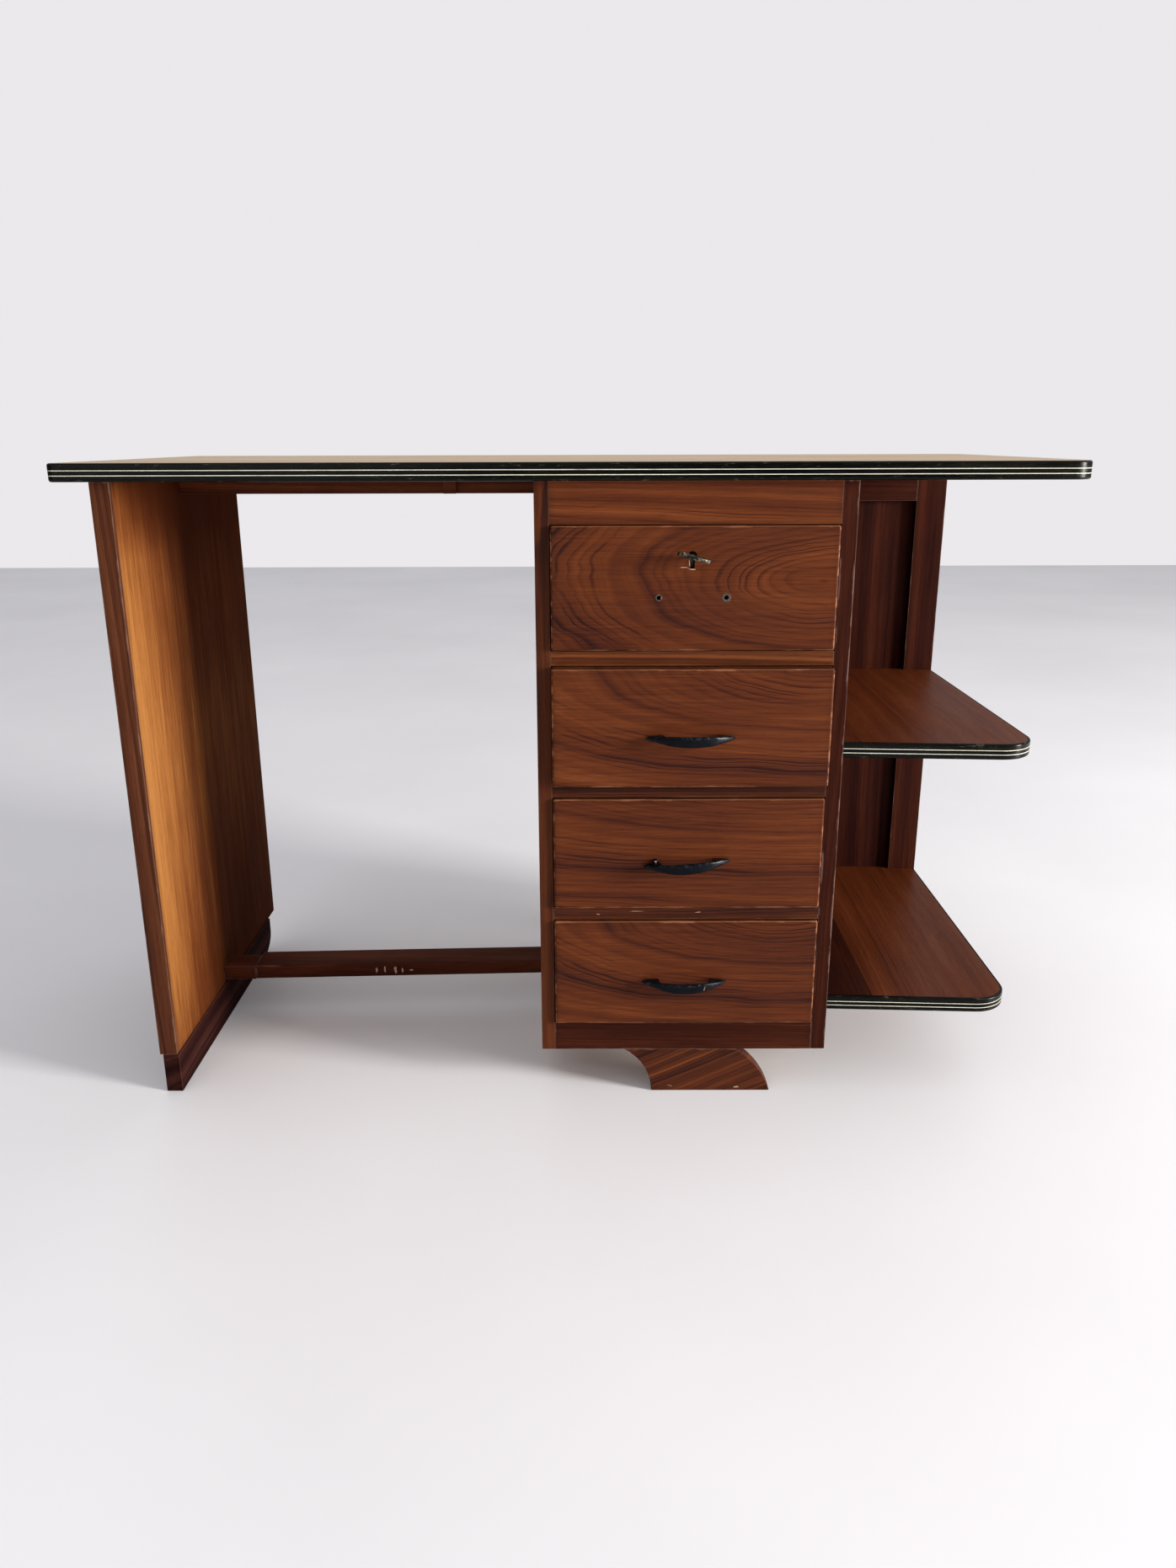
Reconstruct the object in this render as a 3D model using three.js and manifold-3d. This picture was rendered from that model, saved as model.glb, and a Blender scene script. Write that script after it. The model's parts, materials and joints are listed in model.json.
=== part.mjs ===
// Writing desk: one leg panel, a pedestal of four drawers on a shaped foot, and open shelves at the right.
// Millimetres, +Z up, front towards -Y. Lengths below are measured from the outer face of the left side
// panel (x), the front plane of the carcass (y) and the floor (z); ORIGIN then moves the desk so that its
// own origin is the middle of its bounding box, on the floor.

import * as THREE from "three";
import { mergeVertices } from "three/addons/utils/BufferGeometryUtils.js";
import Module from "manifold-3d";

const wasm = await Module();
wasm.setup();

// ---------- driving dimensions ----------
const ORIGIN = { x: 531, y: 221, z: 0 };
const HEIGHT = 780;
const TOP_THICK = 20;
const CARCASS_TOP = HEIGHT - TOP_THICK;
const CARCASS_DEPTH = 465;

const TOP = { left: -39, right: 1101, front: -15, back: 485 };
const TOP_RADII = { left: 8, right: 28 };

const BAND = { thick: 6, round: 4, grooveWidth: 1.6, grooveDepth: 0.5 };
const BAND_GROOVES = [0.40, 0.67];
const BAND_GAP = 0.3;

const LEG = { thick: 22.4, lipping: 6, bottom: 53 };
const PLINTH = { left: 3.7, right: 24.4, depth: 432, heelLength: 60, heelHeight: 30 };

const KNEE = { front: 222, thick: 18, bottom: 736.5, blockLeft: 362, blockRight: 379, blockProud: 7 };
const STRETCHER = { bottom: 60, thick: 20, depth: 47, frontLeft: 198, skew: 19 };
const END_BLOCK = { length: 46, depth: 38 };

const PED = { left: 488, right: 846.5, leftWall: 16.6, rightWall: 17.7, bottom: 60 };
const PED_IN_LEFT = PED.left + PED.leftWall;
const PED_IN_RIGHT = PED.right - PED.rightWall;
const PED_BACK_THICK = 12;
const RAIL_THICK = 20;
const TOP_RAIL_BOTTOM = 712.6;
const BOTTOM_RAIL_TOP = 98;
const DIVIDER_DEPTH = 60;
const BOTTOM_BOARD = 16;
const RUNNER = { width: 23, thick: 16 };

// Drawers from the top down: the front's lowest and highest z, and how far it stands out of the carcass.
const DRAWERS = [
  { bottom: 572, top: 711.8, proud: 5 },
  { bottom: 413, top: 553.4, proud: 17 },
  { bottom: 255.5, top: 395, proud: 5 },
  { bottom: 98.8, top: 238.2, proud: 5 },
];
const DRAWER = {
  gap: 0.8,
  frontThick: 20,
  frontRound: 3,
  sideThick: 12,
  sideGap: 2.2,
  sideHeight: 116,
  backHeight: 104,
  length: 415,
  bottomRise: 8,
  bottomThick: 5,
};

const HANDLE = { x: 665, drop: 80, half: 52, bulge: 26, height: 12.5, bar: 5, padInner: 30, padOuter: 49 };
const LOOSE_HANDLE = { drawer: 2, tilt: -4.5 };
const OLD_SCREWS = { left: 627, right: 703, z: 632.5, radius: 2.4 };

const LOCK = { x: 664, z: 679, caseWidth: 40, caseBottom: 657, caseTop: 701, caseThick: 13, chamber: 8 };
const KEYHOLE = { radius: 5, slotWidth: 5, slotBottom: 665 };
const BOLT = { width: 15, thick: 8, bottom: 689, top: 708.5, clear: 0.4, inset: 3 };
const MORTISE = { width: 22, depth: 12, front: 8 };
const KEY = { shank: 2.6, tip: 25, bowWidth: 38, bowDepth: 23, bowThick: 3.6, ringWidth: 5, bowY: -25.5, tilt: 15 };
const KEY_BIT = { reach: 6.6, thick: 3, length: 5 };

// The foot's left side is hollowed by an arc centred on the floor, and its right side swells in a longer one.
const FOOT = { hollow: { x: 559.5, z: 0, radius: 67.7 }, swell: { x: 677.8, z: -28.7, radius: 105 } };
const FOOT_THICK = 18;
const REAR_FOOT_FRONT = 430;

const SHELF = { right: 1076, back: 445, thick: 19, radius: 42, cornerProud: 8 };
const UPPER_SHELF = { top: 461, frontLeft: 7 };
const LOWER_SHELF = { top: 133, frontLeft: 3 };
const BACK = { stile: 43, rail: 46, thick: 20, panelFront: 455, panelThick: 6 };

const ARC = 7;
const FOOT_STEPS = 14;
const FRONT_STEPS = 5;
const FRONT_TURN = Math.PI * 0.46;

// ---------- materials ----------
const material = (color, roughness, metalness = 0) =>
  new THREE.MeshStandardMaterial({ color, roughness, metalness });
const WALNUT = material(0x6f3a20, 0.42);
const VENEER = material(0x7d4324, 0.45);
const DARK_WOOD = material(0x32191a, 0.55);
const MAPLE = material(0xd7bc96, 0.4);
const EDGE = material(0x101210, 0.25);
const BOX_WOOD = material(0xb58a5c, 0.7);
const HARDBOARD = material(0x8a6440, 0.8);
const BLACK_METAL = material(0x1b1f26, 0.3, 0.8);
const STEEL = material(0x8b8478, 0.45, 0.9);
const BRASS = material(0x8a7448, 0.45, 0.9);

const desk = new THREE.Group();
desk.position.set(-ORIGIN.x, -ORIGIN.y, -ORIGIN.z);

function add(name, geometry, mat) {
  const mesh = new THREE.Mesh(geometry, mat);
  mesh.name = name;
  desk.add(mesh);
  return mesh;
}

// ---------- geometry helpers ----------
function block(x0, x1, y0, y1, z0, z1) {
  const geometry = new THREE.BoxGeometry(x1 - x0, y1 - y0, z1 - z0);
  geometry.translate((x0 + x1) / 2, (y0 + y1) / 2, (z0 + z1) / 2);
  return geometry;
}

// A closed surface from points and triangles, turned so that its faces point out.
function closedSurface(points, triangles) {
  let volume = 0;
  for (const [a, b, c] of triangles) {
    volume += points[a].dot(points[b].clone().cross(points[c]));
  }
  const facing = volume > 0 ? triangles : triangles.map(([a, b, c]) => [a, c, b]);
  const geometry = new THREE.BufferGeometry().setFromPoints(points);
  geometry.setIndex(facing.flat());
  return geometry;
}

// Joins loops of equal length into one skin. Open stacks are capped; closed ones join last to first.
function skin(loops, closed = false) {
  const size = loops[0].length;
  const triangles = [];
  const links = closed ? loops.length : loops.length - 1;
  for (let i = 0; i < links; i += 1) {
    const low = i * size;
    const high = ((i + 1) % loops.length) * size;
    for (let j = 0; j < size; j += 1) {
      const next = (j + 1) % size;
      triangles.push([low + j, low + next, high + next]);
      triangles.push([low + j, high + next, high + j]);
    }
  }
  if (!closed) {
    const last = (loops.length - 1) * size;
    for (const [a, b, c] of capTriangles(loops[0])) {
      triangles.push([a, c, b]);
    }
    for (const [a, b, c] of capTriangles(loops[0])) {
      triangles.push([last + a, last + b, last + c]);
    }
  }
  return closedSurface(loops.flat(), triangles);
}

// Triangles of a flat loop, wound the way the loop runs.
function capTriangles(loop) {
  const normal = new THREE.Vector3();
  for (let i = 1; i < loop.length - 1; i += 1) {
    const side = loop[i].clone().sub(loop[0]);
    normal.add(side.cross(loop[i + 1].clone().sub(loop[0])));
  }
  normal.normalize();
  const u = loop[1].clone().sub(loop[0]).normalize();
  const v = normal.clone().cross(u);
  const flat = loop.map((p) => new THREE.Vector2(p.dot(u), p.dot(v)));
  return THREE.ShapeUtils.triangulateShape(flat, []);
}

// A convex outline of corners {x, y, r}, counter-clockwise, moved in by inset, with rounded corners.
function roundedOutline(corners, inset, steps = ARC) {
  const count = corners.length;
  const lines = corners.map((corner, i) => {
    const next = corners[(i + 1) % count];
    const dir = new THREE.Vector2(next.x - corner.x, next.y - corner.y).normalize();
    const inward = new THREE.Vector2(-dir.y, dir.x);
    return { dir, inward, start: new THREE.Vector2(corner.x, corner.y).addScaledVector(inward, inset) };
  });
  const outline = [];
  corners.forEach((corner, i) => {
    const before = lines[(i + count - 1) % count];
    const after = lines[i];
    const turn = before.dir.x * after.dir.y - before.dir.y * after.dir.x;
    const gap = after.start.clone().sub(before.start);
    const along = (gap.x * after.dir.y - gap.y * after.dir.x) / turn;
    const vertex = before.start.clone().addScaledVector(before.dir, along);
    const radius = corner.r - inset;
    if (radius <= 0) {
      outline.push(vertex);
      return;
    }
    const angle = Math.acos(before.dir.dot(after.dir));
    const reach = radius * Math.tan(angle / 2);
    const centre = vertex.clone().addScaledVector(before.dir, -reach).addScaledVector(before.inward, radius);
    const from = Math.atan2(-before.inward.y, -before.inward.x);
    for (let k = 0; k <= steps; k += 1) {
      const a = from + (angle * k) / steps;
      outline.push(new THREE.Vector2(centre.x + radius * Math.cos(a), centre.y + radius * Math.sin(a)));
    }
  });
  return outline;
}

const lift = (outline, z) => outline.map((p) => new THREE.Vector3(p.x, p.y, z));
const upright = (outline, y) => outline.map((p) => new THREE.Vector3(p.x, y, p.y));
const sideways = (outline, x) => outline.map((p) => new THREE.Vector3(x, p.x, p.y));

function points2(pairs) {
  return pairs.map(([x, y]) => new THREE.Vector2(x, y));
}

function ellipseArc(cx, cy, rx, ry, from, to, steps = ARC) {
  const arc = [];
  for (let k = 0; k <= steps; k += 1) {
    const a = from + ((to - from) * k) / steps;
    arc.push(new THREE.Vector2(cx + rx * Math.cos(a), cy + ry * Math.sin(a)));
  }
  return arc;
}

// ---------- solids cut from each other ----------
function toSolid(geometry) {
  const bare = geometry.clone();
  bare.deleteAttribute("normal");
  bare.deleteAttribute("uv");
  const merged = mergeVertices(bare, 1e-4);
  const mesh = new wasm.Mesh({
    numProp: 3,
    vertProperties: new Float32Array(merged.attributes.position.array),
    triVerts: new Uint32Array(merged.index.array),
  });
  return new wasm.Manifold(mesh);
}

function toGeometry(solid) {
  const mesh = solid.getMesh();
  const geometry = new THREE.BufferGeometry();
  geometry.setAttribute("position", new THREE.BufferAttribute(new Float32Array(mesh.vertProperties), 3));
  geometry.setIndex(new THREE.BufferAttribute(new Uint32Array(mesh.triVerts), 1));
  return geometry;
}

const cut = (geometry, tools) =>
  toGeometry(tools.reduce((solid, tool) => solid.subtract(toSolid(tool)), toSolid(geometry)));
const join = (geometries) =>
  toGeometry(geometries.slice(1).reduce((solid, next) => solid.add(toSolid(next)), toSolid(geometries[0])));

// A round bar along Y.
function barY(x, z, radius, y0, y1, sides = 20) {
  const geometry = new THREE.CylinderGeometry(radius, radius, y1 - y0, sides);
  geometry.translate(x, (y0 + y1) / 2, z);
  return geometry;
}

// ---------- edge bands ----------
// The section of a band: (inset from the outer face, height above its underside).
function bandSection(height) {
  const { thick, round, grooveWidth, grooveDepth } = BAND;
  const half = grooveWidth / 2;
  const section = [new THREE.Vector2(thick, 0)];
  section.push(...ellipseArc(round, round, -round, -round, Math.PI / 2, 0, 4));
  for (const share of [...BAND_GROOVES].reverse()) {
    const z = height * (1 - share);
    section.push(...points2([[0, z - half], [grooveDepth, z - half], [grooveDepth, z + half], [0, z + half]]));
  }
  section.push(...ellipseArc(round, height - round, -round, round, 0, Math.PI / 2, 4));
  section.push(new THREE.Vector2(thick, height));
  return section;
}

// The band all round a closed outline, or along part of it when pick chooses the stations.
function band(corners, bottom, height, pick = null) {
  const section = bandSection(height);
  const rows = section.map((s) => {
    const row = lift(roundedOutline(corners, s.x), bottom + s.y);
    return pick ? pick(row) : row;
  });
  const loops = rows[0].map((_, i) => rows.map((row) => row[i]));
  return skin(loops, pick === null);
}

// ---------- desktop ----------
function makeDesktop() {
  const corners = [
    { x: TOP.left, y: TOP.front, r: TOP_RADII.left },
    { x: TOP.right, y: TOP.front, r: TOP_RADII.right },
    { x: TOP.right, y: TOP.back, r: TOP_RADII.right },
    { x: TOP.left, y: TOP.back, r: TOP_RADII.left },
  ];
  const core = roundedOutline(corners, BAND.thick + BAND_GAP);
  add("desktop_board", skin([lift(core, CARCASS_TOP), lift(core, HEIGHT)]), MAPLE);
  add("desktop_edge_band", band(corners, CARCASS_TOP, TOP_THICK), EDGE);
}

// ---------- left leg ----------
function makeLeftLeg() {
  const { thick, lipping, bottom } = LEG;
  add("left_side_panel", block(0, thick, lipping, CARCASS_DEPTH, bottom, CARCASS_TOP), VENEER);
  add("left_panel_lipping", block(0, thick, 0, lipping, bottom, CARCASS_TOP), WALNUT);

  const { depth, heelLength, heelHeight, left, right } = PLINTH;
  const heel = ellipseArc(depth - heelLength, heelHeight, heelLength, heelHeight, -Math.PI / 2, 0);
  const side = [new THREE.Vector2(0, 0), ...heel, new THREE.Vector2(depth, bottom), new THREE.Vector2(0, bottom)];
  add("left_plinth", skin([sideways(side, left), sideways(side, right)]), DARK_WOOD);
}

// ---------- rails across the knee space ----------
function makeKneeRails() {
  const { front, thick, bottom, blockLeft, blockRight, blockProud } = KNEE;
  const plan = points2([
    [LEG.thick, front],
    [blockLeft, front],
    [blockLeft, front - blockProud],
    [blockRight, front - blockProud],
    [blockRight, front],
    [PED.left, front],
    [PED.left, front + thick],
    [LEG.thick, front + thick],
  ]);
  add("knee_rail", skin([lift(plan, bottom), lift(plan, CARCASS_TOP)]), WALNUT);

  // The stretcher stands a little askew, its right end further back.
  const from = LEG.thick + END_BLOCK.length;
  const slope = STRETCHER.skew / (PED.left - LEG.thick);
  const frontAt = (x) => STRETCHER.frontLeft + slope * (x - LEG.thick);
  const low = STRETCHER.bottom;
  const high = STRETCHER.bottom + STRETCHER.thick;
  const bar = points2([
    [from, frontAt(from)],
    [PED.left, frontAt(PED.left)],
    [PED.left, frontAt(PED.left) + STRETCHER.depth],
    [from, frontAt(from) + STRETCHER.depth],
  ]);
  add("stretcher", skin([lift(bar, low), lift(bar, high)]), WALNUT);
  const blockFront = STRETCHER.frontLeft;
  add("stretcher_end_block", block(LEG.thick, from, blockFront, blockFront + END_BLOCK.depth, low, high), WALNUT);
}

// ---------- pedestal ----------
function makePedestal() {
  const back = CARCASS_DEPTH - PED_BACK_THICK;
  const inside = [PED_IN_LEFT, PED_IN_RIGHT];
  add("pedestal_left_side", block(PED.left, PED_IN_LEFT, 0, CARCASS_DEPTH, PED.bottom, CARCASS_TOP), VENEER);
  add("pedestal_right_side", block(PED_IN_RIGHT, PED.right, 0, CARCASS_DEPTH, PED.bottom, CARCASS_TOP), VENEER);
  add("pedestal_back", block(...inside, back, CARCASS_DEPTH, PED.bottom, CARCASS_TOP), HARDBOARD);
  const boardTop = PED.bottom + BOTTOM_BOARD;
  add("pedestal_bottom", block(...inside, RAIL_THICK, back, PED.bottom, boardTop), BOX_WOOD);
  add("bottom_rail", block(...inside, 0, RAIL_THICK, PED.bottom, BOTTOM_RAIL_TOP), WALNUT);

  // The top rail has a mortise in its underside for the bolt of the lock.
  const half = MORTISE.width / 2;
  const mortise = block(
    LOCK.x - half, LOCK.x + half,
    MORTISE.front, RAIL_THICK + 1,
    TOP_RAIL_BOTTOM - 1, TOP_RAIL_BOTTOM + MORTISE.depth,
  );
  const rail = block(...inside, 0, RAIL_THICK, TOP_RAIL_BOTTOM, CARCASS_TOP);
  add("top_rail", cut(rail, [mortise]), WALNUT);

  DRAWERS.forEach((drawer, i) => {
    const seat = drawer.bottom - DRAWER.gap;
    const below = DRAWERS[i + 1];
    const isLowest = below === undefined;
    if (!isLowest) {
      const rise = below.top + DRAWER.gap;
      add(`divider_rail_${i + 1}`, block(...inside, 0, DIVIDER_DEPTH, rise, seat), WALNUT);
    }
    const runnerFront = isLowest ? RAIL_THICK : DIVIDER_DEPTH;
    const runnerBottom = isLowest ? boardTop : seat - RUNNER.thick;
    const spans = {
      left: [PED_IN_LEFT, PED_IN_LEFT + RUNNER.width],
      right: [PED_IN_RIGHT - RUNNER.width, PED_IN_RIGHT],
    };
    for (const [side, span] of Object.entries(spans)) {
      add(`runner_${i + 1}_${side}`, block(...span, runnerFront, back, runnerBottom, seat), BOX_WOOD);
    }
  });
}

// ---------- foot under the pedestal ----------
function makeFeet() {
  const side = ({ x, z, radius }, from, to) => {
    const angle = (height) => Math.asin((height - z) / radius);
    return ellipseArc(x, z, radius, radius, angle(from), angle(to), FOOT_STEPS);
  };
  const outline = [...side(FOOT.hollow, PED.bottom, 0), ...side(FOOT.swell, 0, PED.bottom)];
  const foot = (front) => skin([upright(outline, front), upright(outline, front + FOOT_THICK)]);
  add("foot_front", foot(0), WALNUT);
  add("foot_rear", foot(REAR_FOOT_FRONT), WALNUT);
}

// ---------- shelves and the framed back behind them ----------
function makeShelf(name, shelf) {
  const corners = [
    { x: PED.right, y: shelf.frontLeft, r: 0 },
    { x: SHELF.right, y: -SHELF.cornerProud, r: SHELF.radius },
    { x: SHELF.right, y: SHELF.back, r: 0 },
    { x: PED.right, y: SHELF.back, r: 0 },
  ];
  const bottom = shelf.top - SHELF.thick;
  // The board reaches the pedestal, the stile and the back panel; the band wraps its front and right edges only.
  const toWalls = (row) => {
    const edge = row.slice(0, -1).map((p) => p.clone());
    const slope = (edge[1].y - edge[0].y) / (edge[1].x - edge[0].x);
    edge[0].y += slope * (PED.right - edge[0].x);
    edge[0].x = PED.right;
    edge[edge.length - 1].y = SHELF.back;
    return edge;
  };
  add(`${name}_band`, band(corners, bottom, SHELF.thick, toWalls), EDGE);
  const inner = toWalls(lift(roundedOutline(corners, BAND.thick + BAND_GAP), bottom));
  const stileLeft = SHELF.right - BACK.stile;
  inner.push(new THREE.Vector3(stileLeft, SHELF.back, bottom));
  inner.push(new THREE.Vector3(stileLeft, BACK.panelFront, bottom));
  inner.push(new THREE.Vector3(PED.right, BACK.panelFront, bottom));
  const upper = inner.map((p) => p.clone().setZ(shelf.top));
  add(`${name}_board`, skin([inner, upper]), VENEER);
}

function makeShelves() {
  makeShelf("upper_shelf", UPPER_SHELF);
  makeShelf("lower_shelf", LOWER_SHELF);
  const foot = LOWER_SHELF.top - SHELF.thick;
  const stileLeft = SHELF.right - BACK.stile;
  const railBottom = CARCASS_TOP - BACK.rail;
  const back = SHELF.back + BACK.thick;
  add("back_stile", block(stileLeft, SHELF.right, SHELF.back, back, foot, CARCASS_TOP), VENEER);
  add("back_top_rail", block(PED.right, stileLeft, SHELF.back, back, railBottom, CARCASS_TOP), VENEER);
  const panelBack = BACK.panelFront + BACK.panelThick;
  add("back_panel", block(PED.right, stileLeft, BACK.panelFront, panelBack, foot, railBottom), VENEER);
}

// ---------- drawers ----------
function drawerFront(drawer) {
  const { frontThick, frontRound, gap } = DRAWER;
  const face = -drawer.proud;
  const corners = [
    { x: PED_IN_LEFT + gap, y: drawer.bottom, r: frontRound },
    { x: PED_IN_RIGHT - gap, y: drawer.bottom, r: frontRound },
    { x: PED_IN_RIGHT - gap, y: drawer.top, r: frontRound },
    { x: PED_IN_LEFT + gap, y: drawer.top, r: frontRound },
  ];
  const loops = [upright(roundedOutline(corners, 0, FRONT_STEPS), face + frontThick)];
  for (const arc of ellipseArc(0, 0, frontRound, frontRound, 0, FRONT_TURN, FRONT_STEPS)) {
    loops.push(upright(roundedOutline(corners, frontRound - arc.x, FRONT_STEPS), face + frontRound - arc.y));
  }
  return skin(loops);
}

function makeDrawer(drawer, number) {
  const { frontThick, sideThick, sideGap, sideHeight, backHeight, length, bottomRise, bottomThick } = DRAWER;
  const name = `drawer_${number}`;
  const front = -drawer.proud + frontThick;
  const back = front + length;
  const left = PED_IN_LEFT + sideGap;
  const right = PED_IN_RIGHT - sideGap;
  const low = drawer.bottom;
  const inLeft = left + sideThick;
  const inRight = right - sideThick;
  const inBack = back - sideThick;
  const floor = low + bottomRise;
  const holes = number === 1 ? lockedFrontHoles() : [];
  const panel = drawerFront(drawer);
  add(`${name}_front`, holes.length ? cut(panel, holes) : panel, WALNUT);
  add(`${name}_left_side`, block(left, inLeft, front, back, low, low + sideHeight), BOX_WOOD);
  add(`${name}_right_side`, block(inRight, right, front, back, low, low + sideHeight), BOX_WOOD);
  add(`${name}_back`, block(inLeft, inRight, inBack, back, low, low + backHeight), BOX_WOOD);
  add(`${name}_bottom`, block(inLeft, inRight, front, inBack, floor, floor + bottomThick), HARDBOARD);
}

// The keyhole and the two screw holes of the lost handle in the top drawer's front.
function lockedFrontHoles() {
  const half = KEYHOLE.slotWidth / 2;
  const before = -DRAWERS[0].proud - 1;
  const behind = DRAWER.frontThick + 1;
  return [
    barY(LOCK.x, LOCK.z, KEYHOLE.radius, before, behind, 24),
    block(LOCK.x - half, LOCK.x + half, before, behind, KEYHOLE.slotBottom, LOCK.z),
    barY(OLD_SCREWS.left, OLD_SCREWS.z, OLD_SCREWS.radius, before, behind, 12),
    barY(OLD_SCREWS.right, OLD_SCREWS.z, OLD_SCREWS.radius, before, behind, 12),
  ];
}

// ---------- bow handles ----------
// A bow that swells in front and narrows to a point at each end, standing on two pads.
function handleShape(face) {
  const { half, bulge, height, bar, padInner, padOuter } = HANDLE;
  const stations = [0.985, 0.965, 0.94, 0.88, 0.82, 0.74, 0.66, 0.585, 0.56, 0.50, 0.42, 0.30, 0.16];
  const reach = [...stations.map((s) => -s), 0, ...[...stations].reverse()];
  const loops = reach.map((t) => {
    const x = t * half;
    const far = Math.abs(x);
    const swell = 1 - t * t;
    const outer = 4 + (bulge - 4) * swell;
    const tall = 1.6 + (height - 1.6) * swell ** 0.8;
    const onPad = far >= padInner && far <= padOuter;
    const inner = onPad ? 0 : Math.max(outer - bar, outer * 0.35);
    const top = tall / 2;
    return [
      [inner, top - tall * 0.82], [outer * 0.7 + inner * 0.3, top - tall * 0.96],
      [outer * 0.94 + inner * 0.06, top - tall * 0.9], [outer, top - tall * 0.62],
      [outer, top - tall * 0.35], [outer * 0.94 + inner * 0.06, top - tall * 0.1],
      [outer * 0.7 + inner * 0.3, top], [inner, top - tall * 0.1],
    ].map(([out, up]) => new THREE.Vector3(x, face - out, up));
  });
  return skin(loops);
}

function makeHandles() {
  DRAWERS.forEach((drawer, i) => {
    if (i === 0) {
      return;
    }
    const geometry = handleShape(-drawer.proud);
    if (i === LOOSE_HANDLE.drawer) {
      geometry.rotateY(THREE.MathUtils.degToRad(LOOSE_HANDLE.tilt));
    }
    geometry.translate(HANDLE.x, 0, drawer.top - HANDLE.drop);
    add(`handle_${i + 1}`, geometry, BLACK_METAL);
  });
}

// ---------- lock and key of the top drawer ----------
function makeLock() {
  const { caseWidth, caseBottom, caseTop, caseThick, chamber } = LOCK;
  const inner = -DRAWERS[0].proud + DRAWER.frontThick;
  const half = caseWidth / 2;
  const boltFront = inner + BOLT.inset;
  const boltBack = boltFront + BOLT.thick;
  const halfBolt = BOLT.width / 2;
  const { clear } = BOLT;
  const shell = block(LOCK.x - half, LOCK.x + half, inner, inner + caseThick, caseBottom, caseTop);
  const slot = block(
    LOCK.x - halfBolt - clear, LOCK.x + halfBolt + clear,
    boltFront - clear, boltBack + clear,
    LOCK.z, caseTop + 1,
  );
  const room = barY(LOCK.x, LOCK.z, chamber, boltFront - clear, boltBack + clear, 24);
  const entry = barY(LOCK.x, LOCK.z, KEYHOLE.radius, inner - 1, boltBack, 24);
  add("lock_case", cut(shell, [slot, room, entry]), STEEL);
  const bolt = block(LOCK.x - halfBolt, LOCK.x + halfBolt, boltFront, boltBack, BOLT.bottom, BOLT.top);
  add("lock_bolt", bolt, STEEL);
}

function makeKey() {
  const { shank, tip, bowWidth, bowDepth, bowThick, ringWidth, bowY, tilt } = KEY;
  const ring = (inset, tall) => {
    const rx = bowWidth / 2 - inset;
    const ry = bowDepth / 2 - inset;
    const loop = ellipseArc(0, bowY, rx, ry, 0, Math.PI * 2 * (27 / 28), 27);
    return skin([lift(loop, -tall / 2), lift(loop, tall / 2)]);
  };
  const bow = cut(ring(0, bowThick), [ring(ringWidth, bowThick * 2)]);
  const collarFront = bowY + bowDepth / 2 - ringWidth / 2;
  const stem = barY(0, 0, shank, collarFront, tip, 16);
  const bitBack = tip - 1;
  const bit = block(0, KEY_BIT.reach, bitBack - KEY_BIT.length, bitBack, -KEY_BIT.thick / 2, KEY_BIT.thick / 2);
  const key = join([bow, stem, bit]);
  key.rotateY(THREE.MathUtils.degToRad(tilt));
  key.translate(LOCK.x, 0, LOCK.z);
  add("key", key, BRASS);
}

makeDesktop();
makeLeftLeg();
makeKneeRails();
makePedestal();
makeFeet();
makeShelves();
DRAWERS.forEach((drawer, i) => makeDrawer(drawer, i + 1));
makeHandles();
makeLock();
makeKey();

export default desk;
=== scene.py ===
"""Looks for the writing desk: refined boards, edge bands, handles, lock and key around the CAD frame."""

import json
import math
import random
from contextlib import contextmanager

import bmesh
import bpy
import numpy as np
from mathutils import Matrix, Vector

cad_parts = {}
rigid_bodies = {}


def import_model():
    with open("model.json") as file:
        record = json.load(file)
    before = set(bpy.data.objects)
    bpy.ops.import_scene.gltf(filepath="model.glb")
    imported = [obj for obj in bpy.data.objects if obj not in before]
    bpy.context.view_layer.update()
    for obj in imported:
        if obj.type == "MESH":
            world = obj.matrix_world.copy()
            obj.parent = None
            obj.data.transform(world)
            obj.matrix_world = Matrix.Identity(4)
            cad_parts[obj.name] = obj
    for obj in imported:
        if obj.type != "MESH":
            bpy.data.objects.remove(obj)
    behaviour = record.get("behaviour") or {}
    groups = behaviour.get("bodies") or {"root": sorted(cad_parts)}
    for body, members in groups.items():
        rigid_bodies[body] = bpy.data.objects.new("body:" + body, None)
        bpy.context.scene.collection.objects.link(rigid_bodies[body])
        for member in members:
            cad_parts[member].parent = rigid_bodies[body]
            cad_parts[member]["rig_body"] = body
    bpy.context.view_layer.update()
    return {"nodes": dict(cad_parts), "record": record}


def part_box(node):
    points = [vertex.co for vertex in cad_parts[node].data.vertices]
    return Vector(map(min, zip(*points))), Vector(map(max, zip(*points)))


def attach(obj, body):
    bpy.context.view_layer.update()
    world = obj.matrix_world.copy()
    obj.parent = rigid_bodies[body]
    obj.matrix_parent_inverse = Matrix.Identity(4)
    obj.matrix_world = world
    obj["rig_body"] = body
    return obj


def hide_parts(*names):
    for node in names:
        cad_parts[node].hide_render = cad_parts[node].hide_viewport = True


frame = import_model()
MM = 0.001
X, Y, Z = 0, 1, 2
FORWARD = Vector((0, -1, 0))
BACKWARD = Vector((0, 1, 0))


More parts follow.
